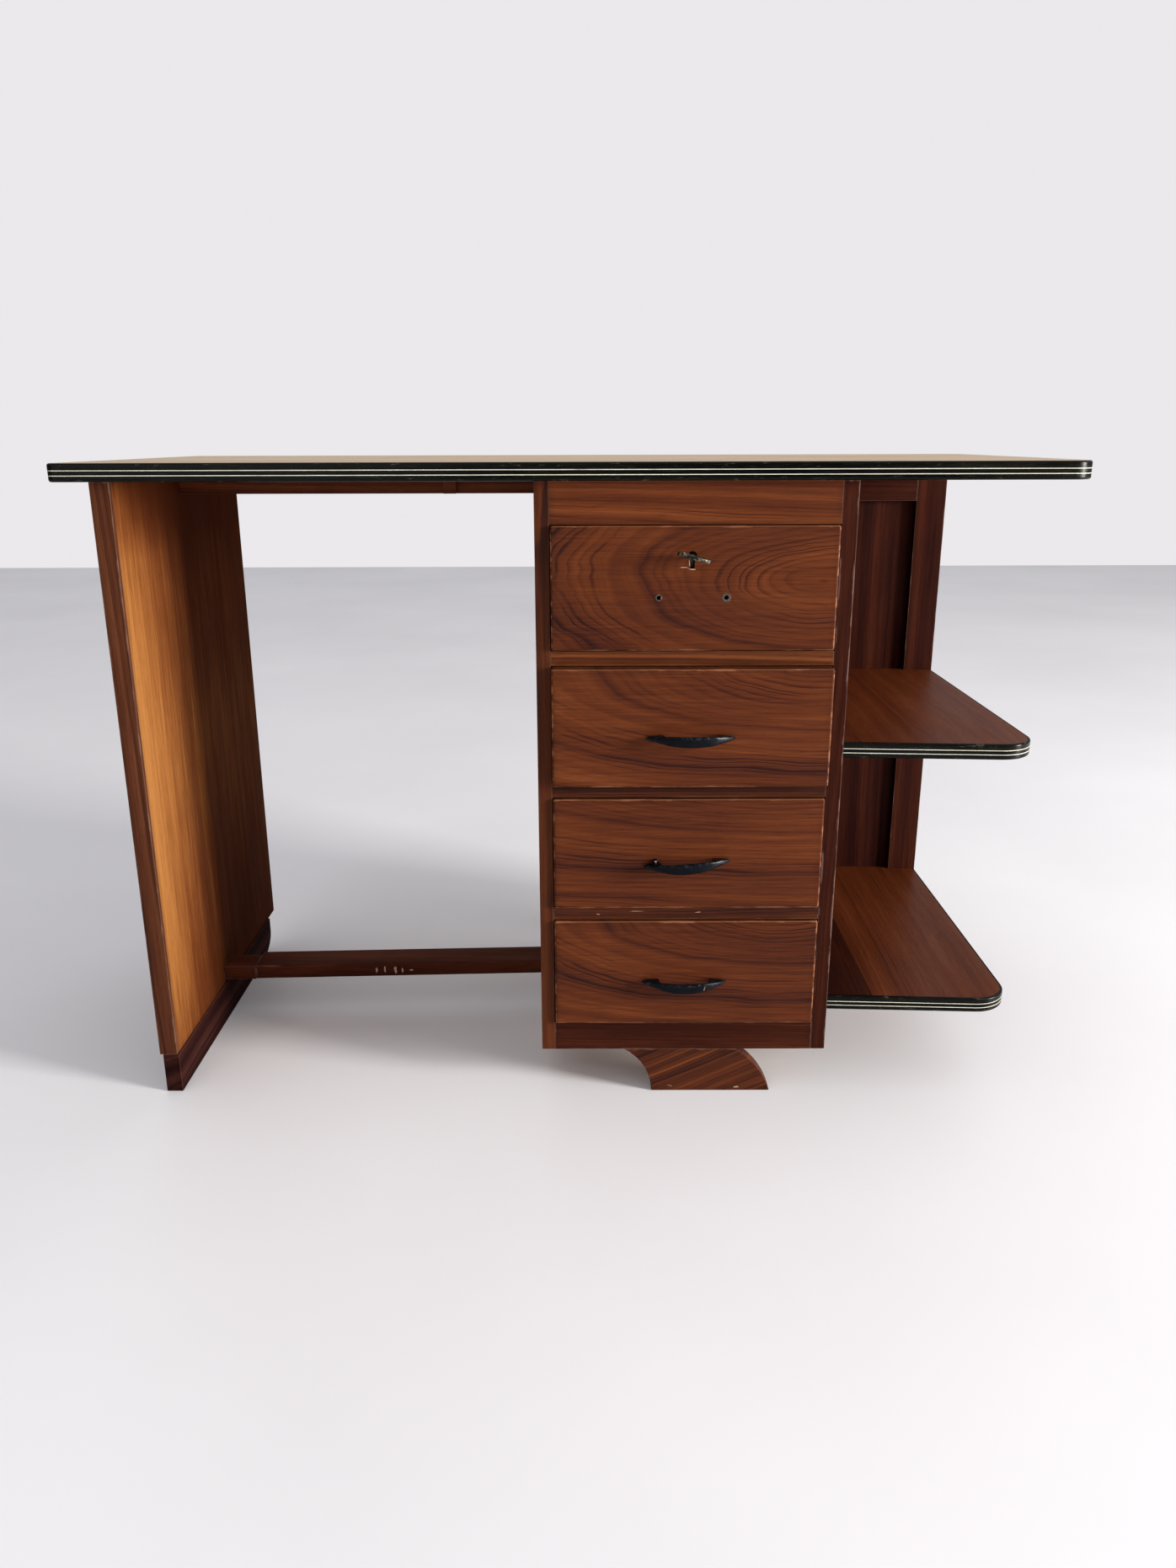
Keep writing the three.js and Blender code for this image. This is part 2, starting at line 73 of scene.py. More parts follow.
# ---- camera, floor and light
CAMERA_PLACE = Vector((0.019, -1.5131, 0.8055))
CAMERA_PITCH = math.radians(-16.91)
CAMERA_YAW = math.radians(-0.13)
CAMERA_ROLL = math.radians(0.16)
CAMERA_LENS = 26.2
SENSOR = 36.0
FLOOR_HALF = 6.0
FLOOR_DROP = 0.2 * MM
BACKDROP_COLOUR = (0.965, 0.945, 0.970, 1)
BACKDROP_LEVEL = 0.86
AMBIENT_COLOUR = (0.95, 0.96, 1.0, 1)
AMBIENT_LEVEL = 0.20
# Name, place and target in metres, size in metres, power in watts and colour of each area light.
LAMPS = (
    ("window", (5.2, -2.05, 1.35), (-0.3, 0.0, 0.35), (1.2, 1.9), 600, (1.0, 0.97, 0.92)),
    ("ceiling", (0.0, 2.0, 6.0), (0.0, 2.0, 0.0), (26.0, 26.0), 1150, (1.0, 0.99, 1.0)),
    ("fill", (-1.1, -2.6, 1.3), (0.2, 0, 0.4), (1.6, 1.4), 9, (0.96, 0.98, 1.0)),
)


def make_camera():
    data = bpy.data.cameras.new("camera")
    data.lens = CAMERA_LENS
    data.sensor_width = SENSOR
    data.clip_end = 50.0
    camera = bpy.data.objects.new("camera", data)
    bpy.context.scene.collection.objects.link(camera)
    level = Matrix.Rotation(-CAMERA_YAW, 3, "Z") @ Matrix.Rotation(math.pi / 2 + CAMERA_PITCH, 3, "X")
    rolled = level @ Matrix.Rotation(-CAMERA_ROLL, 3, "Z")
    camera.matrix_world = Matrix.Translation(CAMERA_PLACE) @ rolled.to_4x4()
    bpy.context.scene.camera = camera


def make_floor(material):
    half = FLOOR_HALF
    corners = [(-half, -half, 0), (half, -half, 0), (half, half, 0), (-half, half, 0)]
    mesh = bpy.data.meshes.new("floor")
    mesh.from_pydata(corners, [], [(0, 1, 2, 3)])
    floor = bpy.data.objects.new("floor", mesh)
    floor.location.z = -FLOOR_DROP
    bpy.context.scene.collection.objects.link(floor)
    mesh.materials.append(material)


def area_light(name, place, target, size, power, colour):
    data = bpy.data.lights.new(name, "AREA")
    data.shape = "RECTANGLE"
    data.size, data.size_y = size
    data.energy = power
    data.color = colour
    light = bpy.data.objects.new(name, data)
    light.location = place
    light.rotation_euler = (Vector(target) - Vector(place)).to_track_quat("-Z", "Y").to_euler()
    light.visible_camera = False
    bpy.context.scene.collection.objects.link(light)


def make_light():
    """A pale backdrop, one soft window at the right, a ceiling softbox and a weak front fill."""
    world = bpy.data.worlds.new("studio")
    world.use_nodes = True
    tree = world.node_tree
    backdrop = tree.nodes["Background"]
    backdrop.inputs["Color"].default_value = BACKDROP_COLOUR
    backdrop.inputs["Strength"].default_value = BACKDROP_LEVEL
    ambient = tree.nodes.new("ShaderNodeBackground")
    ambient.inputs["Color"].default_value = AMBIENT_COLOUR
    ambient.inputs["Strength"].default_value = AMBIENT_LEVEL
    path = tree.nodes.new("ShaderNodeLightPath")
    either = tree.nodes.new("ShaderNodeMixShader")
    tree.links.new(path.outputs["Is Camera Ray"], either.inputs["Fac"])
    tree.links.new(ambient.outputs[0], either.inputs[1])
    tree.links.new(backdrop.outputs[0], either.inputs[2])
    tree.links.new(either.outputs[0], tree.nodes["World Output"].inputs["Surface"])
    bpy.context.scene.world = world
    bpy.context.scene.view_settings.view_transform = "Standard"
    for lamp in LAMPS:
        area_light(*lamp)


# ---- shader building
class Shader:
    """A node material. Most of its methods add nodes and give back an output socket of the last one."""

    def __init__(self, name):
        self.material = bpy.data.materials.new(name)
        self.material.use_nodes = True
        self.tree = self.material.node_tree
        self.surface = self.tree.nodes["Principled BSDF"]

    def node(self, kind, **settings):
        node = self.tree.nodes.new(f"ShaderNode{kind}")
        for key, value in settings.items():
            setattr(node, key, value)
        return node

    def feed(self, socket, value):
        if isinstance(value, bpy.types.NodeSocket):
            self.tree.links.new(value, socket)
        else:
            socket.default_value = value

    def attribute(self, name, output="Vector"):
        node = self.node("Attribute", attribute_name=name)
        return node.outputs[output]

    def place(self):
        return self.node("TexCoord").outputs["Object"]

    def math(self, operation, *values, clamp=False):
        node = self.node("Math", operation=operation, use_clamp=clamp)
        for socket, value in zip(node.inputs, values):
            self.feed(socket, value)
        return node.outputs[0]

    def vector(self, operation, *values, output=0):
        node = self.node("VectorMath", operation=operation)
        for socket, value in zip(node.inputs, values):
            self.feed(socket, value)
        return node.outputs[output]

    def split(self, vector):
        node = self.node("SeparateXYZ")
        self.feed(node.inputs[0], vector)
        return node.outputs

    def stretch(self, vector, factors):
        return self.vector("MULTIPLY", vector, factors)

    def noise(self, place, scale, detail=2.0, roughness=0.5, output="Fac", along="3D"):
        """Noise over a place in space or, with along 1D, along a single number."""
        node = self.node("TexNoise", noise_dimensions=along)
        self.feed(node.inputs["W" if along == "1D" else "Vector"], place)
        for name, number in (("Scale", scale), ("Detail", detail), ("Roughness", roughness)):
            node.inputs[name].default_value = number
        return node.outputs[output]

    def streaks(self, fibre, along, across, **looks):
        """Noise that is drawn out along the fibres: its scales along and across them."""
        return self.noise(self.stretch(fibre, (along, across, across)), 1.0, **looks)

    def swing(self, colour_noise, reach):
        """A colour noise as a small vector that swings about zero."""
        return self.stretch(self.vector("SUBTRACT", colour_noise, (0.5, 0.5, 0.5)), (reach, reach, reach))

    def ramp(self, value, stops):
        node = self.node("ValToRGB")
        elements = node.color_ramp.elements
        while len(elements) < len(stops):
            elements.new(0.5)
        for element, (position, colour) in zip(elements, stops):
            element.position = position
            element.color = (*colour, 1)
        self.feed(node.inputs["Fac"], value)
        return node.outputs["Color"]

    def smooth(self, value, low, high, to_low=0.0, to_high=1.0):
        node = self.node("MapRange", interpolation_type="SMOOTHSTEP")
        self.feed(node.inputs["Value"], value)
        for name, number in zip(("From Min", "From Max", "To Min", "To Max"), (low, high, to_low, to_high)):
            self.feed(node.inputs[name], number)
        return node.outputs["Result"]

    def mix(self, share, first, second, blend="MIX"):
        node = self.node("Mix", data_type="RGBA", blend_type=blend)
        self.feed(node.inputs["Factor"], share)
        colours = [s for s in node.inputs if s.type == "RGBA"]
        for socket, value in zip(colours, (first, second)):
            value = (*value, 1) if isinstance(value, tuple) and len(value) == 3 else value
            self.feed(socket, value)
        return next(s for s in node.outputs if s.type == "RGBA")

    def bump(self, height, strength, distance):
        node = self.node("Bump")
        node.inputs["Strength"].default_value = strength
        node.inputs["Distance"].default_value = distance
        self.feed(node.inputs["Height"], height)
        return node.outputs["Normal"]

    def finish(self, colour, roughness, normal, **constants):
        self.feed(self.surface.inputs["Base Color"], colour)
        self.feed(self.surface.inputs["Roughness"], roughness)
        self.feed(self.surface.inputs["Normal"], normal)
        for name, value in constants.items():
            self.surface.inputs[name.replace("_", " ")].default_value = value
        return self.material

    def edge_distance(self):
        """How far a point is from the nearest edge of its own box, in metres."""
        low = self.split(self.attribute("from_low"))
        high = self.split(self.attribute("from_high"))
        a, b, c = (self.math("MINIMUM", low[i], high[i]) for i in range(3))
        inner = self.math("MINIMUM", a, b)
        outer = self.math("MAXIMUM", a, b)
        return self.math("MAXIMUM", inner, self.math("MINIMUM", outer, c))


# ---- materials
GREYS = [(0.0, (0, 0, 0)), (1.0, (1, 1, 1))]
PORE_COLOUR = (0.012, 0.004, 0.003)
WALNUT_STOPS = [
    (0.16, (0.018, 0.0048, 0.0036)), (0.34, (0.042, 0.0098, 0.0048)), (0.48, (0.072, 0.0165, 0.0052)),
    (0.60, (0.100, 0.0240, 0.0064)), (0.78, (0.155, 0.0420, 0.0110)),
]
RAIL_STOPS = [
    (0.16, (0.020, 0.0050, 0.0030)), (0.34, (0.048, 0.0115, 0.0048)), (0.50, (0.088, 0.0215, 0.0064)),
    (0.64, (0.128, 0.0340, 0.0095)), (0.82, (0.190, 0.0560, 0.0170)),
]
VENEER_STOPS = [
    (0.18, (0.016, 0.0036, 0.0026)), (0.36, (0.034, 0.0078, 0.0040)), (0.50, (0.056, 0.0130, 0.0058)),
    (0.64, (0.082, 0.0200, 0.0080)), (0.82, (0.125, 0.0340, 0.0130)),
]
SHELF_STOPS = [
    (0.18, (0.024, 0.0050, 0.0026)), (0.36, (0.060, 0.0125, 0.0042)), (0.50, (0.096, 0.0215, 0.0062)),
    (0.64, (0.130, 0.0320, 0.0092)), (0.82, (0.175, 0.0490, 0.0150)),
]
LEG_STOPS = [
    (0.04, (0.058, 0.0140, 0.0044)), (0.20, (0.092, 0.0245, 0.0070)), (0.36, (0.165, 0.0540, 0.0142)),
    (0.50, (0.258, 0.0970, 0.0255)), (0.64, (0.330, 0.1350, 0.0375)), (0.82, (0.420, 0.1900, 0.0600)),
]
LIP_STOPS = [
    (0.18, (0.016, 0.0042, 0.0026)), (0.36, (0.034, 0.0088, 0.0040)), (0.50, (0.056, 0.0145, 0.0056)),
    (0.64, (0.086, 0.0240, 0.0088)), (0.82, (0.130, 0.0420, 0.0165)),
]
PLINTH_STOPS = [
    (0.18, (0.010, 0.0032, 0.0028)), (0.40, (0.022, 0.0066, 0.0056)), (0.60, (0.036, 0.0110, 0.0088)),
    (0.82, (0.062, 0.0220, 0.0165)),
]
MAPLE_STOPS = [
    (0.20, (0.560, 0.380, 0.215)), (0.45, (0.690, 0.500, 0.310)), (0.60, (0.770, 0.580, 0.385)),
    (0.85, (0.840, 0.690, 0.500)),
]
BOX_STOPS = [
    (0.20, (0.210, 0.110, 0.050)), (0.45, (0.300, 0.170, 0.082)), (0.65, (0.370, 0.225, 0.115)),
    (0.88, (0.450, 0.295, 0.165)),
]
HARDBOARD_STOPS = [(0.25, (0.11, 0.055, 0.024)), (0.50, (0.20, 0.110, 0.050)), (0.78, (0.30, 0.18, 0.09))]
BAND_STOPS = [
    (0.30, (0.0014, 0.0015, 0.0011)), (0.55, (0.0028, 0.0028, 0.0020)), (0.80, (0.0075, 0.0070, 0.0050)),
]
INLAY_STOPS = [(0.24, (0.36, 0.34, 0.24)), (0.40, (0.62, 0.60, 0.47)), (0.70, (0.80, 0.785, 0.66))]
CHIP_STOPS = [(0.30, (0.16, 0.075, 0.040)), (0.50, (0.34, 0.21, 0.13)), (0.72, (0.50, 0.37, 0.26))]
FLOOR_STOPS = [(0.30, (0.80, 0.79, 0.82)), (0.70, (0.86, 0.85, 0.88))]
SCRATCH_COLOUR = (0.06, 0.06, 0.045)
NICK_COLOUR = (0.11, 0.105, 0.075)
DUST_COLOUR = (0.14, 0.13, 0.11)


def wood_rings(s, fibre, rings, band, warp):
    """The broad bands and the thin dark ring lines around the figure's axis, both from 0 to 1."""
    figure = s.attribute("figure")
    drift = s.swing(s.noise(figure, 9.0, detail=3.0, roughness=0.55, output="Color"), warp * 2)
    ripple = s.swing(s.streaks(fibre, 18.0, 90.0, detail=3.0, output="Color"), 1.6 * MM)
    bent = s.vector("ADD", s.vector("ADD", figure, drift), ripple)
    radius = s.vector("LENGTH", bent, output="Value")
    broad = s.noise(radius, band, detail=3.0, roughness=0.6, along="1D")
    uneven = s.math("MULTIPLY", s.noise(radius, rings * 0.4, along="1D"), 2.2)
    turn = s.math("FRACT", s.math("MULTIPLY_ADD", radius, rings, uneven))
    late = s.math("MULTIPLY", s.smooth(turn, 0.50, 0.92), s.smooth(turn, 0.92, 1.0, 1.0, 0.0))
    strong = s.smooth(s.noise(radius, rings * 0.17, along="1D"), 0.38, 0.62)
    patchy = s.smooth(s.streaks(fibre, 7.0, 34.0, detail=3.0), 0.34, 0.62, 0.15, 1.0)
    return broad, s.math("MULTIPLY", s.math("MULTIPLY", late, strong), patchy)


def wood_rubbing_and_highlight(s, fibre, edge, worn_share, top_highlight):
    """Rubbed-off finish in patches along the edges, and by top_highlight a painted highlight on the upper
    one.
    """
    wear = s.attribute("wear", "Fac")
    patch = s.streaks(fibre, 22.0, 90.0, detail=3.0, roughness=0.65)
    reach = s.math("MULTIPLY", s.smooth(patch, 0.42, 0.68), wear)
    if top_highlight:
        top = s.smooth(s.split(s.attribute("from_high"))[Z], 0.5 * MM, 4 * MM, top_highlight, 0.0)
        reach = s.math("MAXIMUM", reach, top)
    width = s.math("MULTIPLY_ADD", reach, 1.8 * MM, 1.1 * MM)
    near = s.smooth(edge, 0.3 * MM, width, 1.0, 0.0)
    rubbed = s.math("MULTIPLY", near, s.smooth(reach, 0.05, 0.7, 0.42, 1.0))
    return s.math("MULTIPLY", rubbed, s.smooth(wear, 0.0, 0.6, 0.0, worn_share), clamp=True)


def wood(name, stops, rings=130.0, band=24.0, warp=0.02, contrast=1.0, ring_dark=0.24, fibre_share=0.46,
         worn=(0.20, 0.085, 0.040), worn_share=0.6, top_highlight=0.0, roughness=(0.42, 0.60), pores=0.35,
         gloss_level=0.08):
    """Flat-sawn wood: bands and ring lines round an axis, fibres and pores along it, and rubbed edges."""
    s = Shader(name)
    fibre = s.attribute("fibre")
    broad, lines = wood_rings(s, fibre, rings, band, warp)
    fibres = s.streaks(fibre, 11.0, 430.0, detail=5.0, roughness=0.70)
    cloud = s.streaks(fibre, 4.0, 13.0, detail=3.0)
    value = s.math("MULTIPLY_ADD", s.math("SUBTRACT", broad, 0.5), 0.95 * contrast, 0.54)
    value = s.math("MULTIPLY_ADD", lines, -ring_dark * contrast, value)
    value = s.math("MULTIPLY_ADD", s.math("SUBTRACT", fibres, 0.5), fibre_share, value)
    value = s.math("MULTIPLY_ADD", s.math("SUBTRACT", cloud, 0.5), 0.30, value)
    value = s.math("ADD", value, s.attribute("tone", "Fac"))
    colour = s.ramp(value, stops)

    dashes = s.smooth(s.streaks(fibre, 42.0, 1500.0, detail=1.0), 0.60, 0.70)
    colour = s.mix(s.math("MULTIPLY", dashes, pores), colour, PORE_COLOUR)

    edge = s.edge_distance()
    # rubbed holds the rubbed-off finish and, by top_highlight, a painted highlight along the upper edge.
    rubbed = wood_rubbing_and_highlight(s, fibre, edge, worn_share, top_highlight)
    colour = s.mix(rubbed, colour, worn)
    # Painted shade: the colour darkens to 0.82 of itself within 10 mm of any edge of the piece's box.
    shade = s.smooth(edge, 0.0, 10 * MM, 0.82, 1.0)
    colour = s.mix(1.0, colour, s.ramp(shade, GREYS), "MULTIPLY")

    scuffs = s.streaks(fibre, 4.0, 30.0, detail=4.0, roughness=0.7)
    gloss = s.smooth(scuffs, 0.35, 0.7, *roughness)
    gloss = s.math("ADD", gloss, s.math("MULTIPLY", rubbed, 0.2), clamp=True)
    relief = s.math("SUBTRACT", s.math("MULTIPLY", fibres, 0.6), dashes)
    relief = s.math("MULTIPLY_ADD", lines, -0.4, relief)
    return s.finish(colour, gloss, s.bump(relief, 0.22, 0.4 * MM), Specular_IOR_Level=gloss_level)


def hardboard():
    s = Shader("hardboard")
    place = s.place()
    specks = s.noise(place, 900.0, detail=4.0, roughness=0.7)
    cloud = s.noise(place, 14.0, detail=3.0)
    value = s.math("MULTIPLY_ADD", s.math("SUBTRACT", cloud, 0.5), 0.5, specks)
    colour = s.ramp(value, HARDBOARD_STOPS)
    rough = s.smooth(cloud, 0.3, 0.7, 0.62, 0.82)
    return s.finish(colour, rough, s.bump(specks, 0.3, 0.3 * MM))


def edge_plastic():
    """Glossy black edge band with hairline scratches, dust in the hollows and rubbed rims."""
    s = Shader("edge_band")
    place = s.place()
    smear = s.noise(s.stretch(place, (5.0, 5.0, 60.0)), 1.0, detail=4.0, roughness=0.65)
    hair = s.noise(s.stretch(place, (40.0, 40.0, 2600.0)), 1.0, detail=1.0)
    hair = s.smooth(hair, 0.66, 0.74)
    dust = s.noise(place, 420.0, detail=4.0, roughness=0.75)
    base = s.ramp(smear, BAND_STOPS)
    base = s.mix(s.math("MULTIPLY", hair, 0.22), base, SCRATCH_COLOUR)
    rim = s.attribute("wear", "Fac")
    nick = s.noise(s.stretch(place, (55.0, 55.0, 240.0)), 1.0, detail=4.0, roughness=0.7)
    rubbed = s.math("MULTIPLY", s.smooth(nick, 0.58, 0.72), rim, clamp=True)
    base = s.mix(s.math("MULTIPLY", rubbed, 0.5), base, NICK_COLOUR)
    base = s.mix(s.math("MULTIPLY", s.smooth(dust, 0.64, 0.8), 0.12), base, DUST_COLOUR)
    rough = s.smooth(smear, 0.3, 0.75, 0.14, 0.34)
    rough = s.math("ADD", rough, s.math("MULTIPLY", rubbed, 0.3), clamp=True)
    return s.finish(base, rough, s.bump(hair, 0.15, 0.1 * MM), Specular_IOR_Level=0.10)


def inlay():
    """The pale lines let into the edge band, yellowed and dirty in places."""
    s = Shader("inlay_line")
    place = s.place()
    grime = s.noise(s.stretch(place, (30.0, 30.0, 160.0)), 1.0, detail=4.0, roughness=0.7)
    colour = s.ramp(grime, INLAY_STOPS)
    rough = s.smooth(grime, 0.3, 0.7, 0.5, 0.25)
    return s.finish(colour, rough, s.bump(grime, 0.1, 0.2 * MM))


def bare_wood():
    """Raw pale fibres where a chip has come off."""
    s = Shader("bare_wood")
    place = s.place()
    strands = s.noise(s.stretch(place, (120.0, 120.0, 900.0)), 1.0, detail=4.0, roughness=0.7)
    colour = s.ramp(strands, CHIP_STOPS)
    rough = s.smooth(strands, 0.3, 0.7, 0.75, 0.9)
    return s.finish(colour, rough, s.bump(strands, 0.4, 0.3 * MM))


def metal(name, dark, light, worn, roughness, metallic, rust=None, **constants):
    """Cloudy metal or smooth black, paler where worn and where a highlight is painted and, with rust,
    speckled.
    """
    s = Shader(name)
    place = s.place()
    cloud = s.noise(place, 60.0, detail=4.0, roughness=0.65)
    grit = s.noise(place, 900.0, detail=3.0, roughness=0.7)
    colour = s.ramp(cloud, [(0.3, dark), (0.7, light)])
    wear = s.attribute("wear", "Fac")
    patch = s.noise(place, 240.0, detail=4.0, roughness=0.7)
    rubbed = s.math("MULTIPLY", s.smooth(patch, 0.48, 0.68), wear, clamp=True)
    colour = s.mix(rubbed, colour, worn)
    if rust is not None:
        colour = s.mix(s.smooth(grit, 0.58, 0.72), colour, rust)
    rough = s.smooth(cloud, 0.3, 0.7, *roughness)
    rough = s.math("MULTIPLY_ADD", grit, 0.12, rough, clamp=True)
    return s.finish(colour, rough, s.bump(grit, 0.05, 0.1 * MM), Metallic=metallic, **constants)


def floor_paint():
    s = Shader("floor_paint")
    place = s.place()
    cloud = s.noise(place, 1.4, detail=4.0)
    fine = s.noise(place, 160.0, detail=2.0)
    colour = s.ramp(cloud, FLOOR_STOPS)
    rough = s.smooth(fine, 0.3, 0.7, 0.42, 0.5)
    return s.finish(colour, rough, s.bump(fine, 0.04, 0.5 * MM))


def make_materials():
    return {
        # The fronts' pale edge lines are partly wear and partly painted highlight; top_highlight paints one
        # along the upper edge.
        "front": wood("walnut_front", WALNUT_STOPS, rings=210.0, band=42.0, warp=0.016, contrast=0.76,
                      ring_dark=0.40, fibre_share=0.56, worn=(0.38, 0.155, 0.078), worn_share=0.9,
                      top_highlight=0.50),
        "rail": wood("walnut_rail", RAIL_STOPS, rings=230.0, band=70.0, warp=0.010, contrast=1.1),
        "panel": wood("panel_veneer", VENEER_STOPS, rings=190.0, band=52.0, warp=0.010, contrast=0.40,
                      worn=(0.20, 0.115, 0.095), worn_share=0.9, gloss_level=0.03),
        "shelf": wood("shelf_veneer", SHELF_STOPS, rings=210.0, band=40.0, warp=0.010, contrast=0.42,
                      fibre_share=0.42, roughness=(0.32, 0.44), gloss_level=0.09),
        "leg": wood("leg_veneer", LEG_STOPS, rings=190.0, band=34.0, warp=0.014, contrast=0.22,
                    fibre_share=0.60, gloss_level=0.002),
        "lip": wood("dark_lipping", LIP_STOPS, rings=260.0, band=80.0, worn=(0.24, 0.13, 0.085)),
        "plinth": wood("dark_plinth", PLINTH_STOPS, rings=200.0, band=60.0, roughness=(0.62, 0.78),
                       gloss_level=0.01),
        "maple": wood("maple_top", MAPLE_STOPS, rings=90.0, band=22.0, contrast=0.55, pores=0.06,
                      roughness=(0.26, 0.40), gloss_level=0.3),
        "box": wood("box_wood", BOX_STOPS, rings=140.0, band=40.0, contrast=0.8, pores=0.12,
                    roughness=(0.60, 0.78), worn=(0.62, 0.46, 0.28)),
        "hardboard": hardboard(),
        "edge": edge_plastic(),
        "inlay": inlay(),
        "bare": bare_wood(),
        "handle": metal("handle_black", (0.0010, 0.0014, 0.0024), (0.0026, 0.0038, 0.0066),
                        (0.060, 0.070, 0.085), (0.13, 0.22), 0.0, Specular_IOR_Level=0.085),
        "steel": metal("lock_steel", (0.16, 0.145, 0.12), (0.34, 0.32, 0.29), (0.60, 0.58, 0.54),
                       (0.30, 0.5), 1.0, rust=(0.10, 0.055, 0.03)),
        "brass": metal("key_brass", (0.014, 0.013, 0.009), (0.050, 0.047, 0.034), (0.34, 0.32, 0.25),
                       (0.30, 0.48), 0.9, rust=(0.03, 0.024, 0.015)),
        "bright": metal("bright_screw", (0.45, 0.43, 0.38), (0.68, 0.66, 0.60), (0.85, 0.83, 0.78),
                        (0.2, 0.35), 1.0),
        "ring": metal("worn_ring", (0.030, 0.020, 0.016), (0.085, 0.060, 0.048), (0.24, 0.19, 0.16),
                      (0.5, 0.7), 0.2),
        "floor": floor_paint(),
    }


# ---- mesh building
def put_vectors(mesh, name, values):
    layer = mesh.attributes.new(name, "FLOAT_VECTOR", "POINT")
    layer.data.foreach_set("vector", np.asarray(values, np.float32).ravel())


def put_floats(mesh, name, values):
    layer = mesh.attributes.new(name, "FLOAT", "POINT")
    layer.data.foreach_set("value", np.asarray(values, np.float32).ravel())


def put_wear(mesh, wear):
    """The same wear all over a mesh."""
    put_floats(mesh, "wear", np.full(len(mesh.vertices), wear))


def add_piece(name, mesh, material, body, nodes=()):
    """A piece that rides on a body, and stands for the CAD nodes that it replaces."""
    mesh.materials.clear()
    mesh.materials.append(material)
    mesh.shade_smooth()
    piece = bpy.data.objects.new(name, mesh)
    bpy.context.scene.collection.objects.link(piece)
    modifier = piece.modifiers.new("flat_faces", "WEIGHTED_NORMAL")
    modifier.weight = 100
    modifier.keep_sharp = True
    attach(piece, body)
    if nodes:
        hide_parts(*nodes)


def body_of(node):
    return frame["nodes"][node]["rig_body"]


def slot_of(node):
    return next(p["material_slot"] for p in frame["record"]["subparts"] if p["node"] == node)


def stand_in(node, label, mesh, material):
    """A piece that takes the place of one CAD node, on its body."""
    add_piece(f"{node}_{label}", mesh, material, body_of(node), [node])


@contextmanager
def edited(mesh):
    """Opens a mesh for changes, and puts it back with no face of more than four sides."""
    shape = bmesh.new()
    shape.from_mesh(mesh)
    yield shape
    bmesh.ops.triangulate(shape, faces=[f for f in shape.faces if len(f.verts) > 4])
    shape.to_mesh(mesh)
    shape.free()


SAME_POINT = 0.02 * MM
FLAT_ANGLE = math.radians(1)
HARD_ANGLE = math.radians(35)
BEVEL_STEPS = 3


def refined_copy(node, bevel):
    """The CAD solid of a node as a new mesh: flat faces joined and hard edges eased by bevel metres."""
    mesh = frame["nodes"][node].data.copy()
    mesh.name = f"{node}_mesh"
    with edited(mesh) as shape:
        bmesh.ops.remove_doubles(shape, verts=shape.verts, dist=SAME_POINT)
        bmesh.ops.dissolve_limit(shape, angle_limit=FLAT_ANGLE, verts=shape.verts, edges=shape.edges)
        hard = [e for e in shape.edges if e.is_manifold and e.calc_face_angle(0.0) > HARD_ANGLE]
        bmesh.ops.bevel(shape, geom=hard, offset=bevel, segments=BEVEL_STEPS, profile=0.5, affect="EDGES",
                        clamp_overlap=True)
    return mesh


TONE_SLICES = 16


def slice_mesh(mesh, axis):
    """Cuts a mesh across one axis into equal slices, so that its tone can change along the axis."""
    way = [1.0 if i == axis else 0.0 for i in range(3)]
    with edited(mesh) as shape:
        places = [v.co[axis] for v in shape.verts]
        low, high = min(places), max(places)
        for i in range(1, TONE_SLICES):
            spot = [w * (low + (high - low) * i / TONE_SLICES) for w in way]
            everything = shape.verts[:] + shape.edges[:] + shape.faces[:]
            bmesh.ops.bisect_plane(shape, geom=everything, plane_co=spot, plane_no=way)


def third_axis(first, second):
    return X + Y + Z - first - second


def turned_in_plane(points, along, across, angle):
    """The points turned about the middle of their box, in the plane of the two axes."""
    middle = (points.min(0) + points.max(0)) / 2
    c, s = math.cos(angle), math.sin(angle)
    a = points[:, along] - middle[along]
    b = points[:, across] - middle[across]
    result = points.copy()
    result[:, along] = middle[along] + a * c - b * s
    result[:, across] = middle[across] + a * s + b * c
    return result


FIBRE_SHIFT = 40.0


def grain_space(mesh, along, face, centre, stretch, seed, tone=0.0, wear=0.5, twist=0.0,
                fade=(0.0, 0.0, 0.0), profiles=()):
    """Stores where each point lies in its plank, whose grain runs along one axis and which faces another.

    centre and stretch place the rings. twist turns the grain within the face. fade is how much the tone rises
    across the box along x, y and z. Each of the profiles is an axis and its pairs (share of the way, tone).
    """
    points = np.zeros(len(mesh.vertices) * 3)
    mesh.vertices.foreach_get("co", points)
    points = points.reshape(-1, 3)
    low, high = points.min(0), points.max(0)
    across = third_axis(along, face)
    straight = turned_in_plane(points, along, across, twist) if twist else points
    local = straight[:, [along, across, face]]
    draw = random.Random(seed)
    shift = [draw.uniform(-FIBRE_SHIFT, FIBRE_SHIFT) for _ in range(3)]
    put_vectors(mesh, "figure", (local - np.array(centre)) * np.array([stretch, 1.0, 1.0]))
    put_vectors(mesh, "fibre", local + np.array(shift))
    put_vectors(mesh, "from_low", points - low)
    put_vectors(mesh, "from_high", high - points)
    share = (points - low) / (high - low)
    tones = tone + share @ np.array(fade)
    for axis, pairs in profiles:
        tones = tones + np.interp(share[:, axis], *zip(*pairs))
    put_floats(mesh, "tone", tones)
    put_wear(mesh, wear)


FIGURE_STRETCH = 0.12


def figure_centre(node, along, face, figure):
    """The ring centre of a plank in the order along, across and face, figure metres from its middle."""
    low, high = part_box(node)
    middle = (low + high) / 2
    across = third_axis(along, face)
    return (middle[along] + figure[0], middle[across] + figure[1], middle[face] + figure[2])


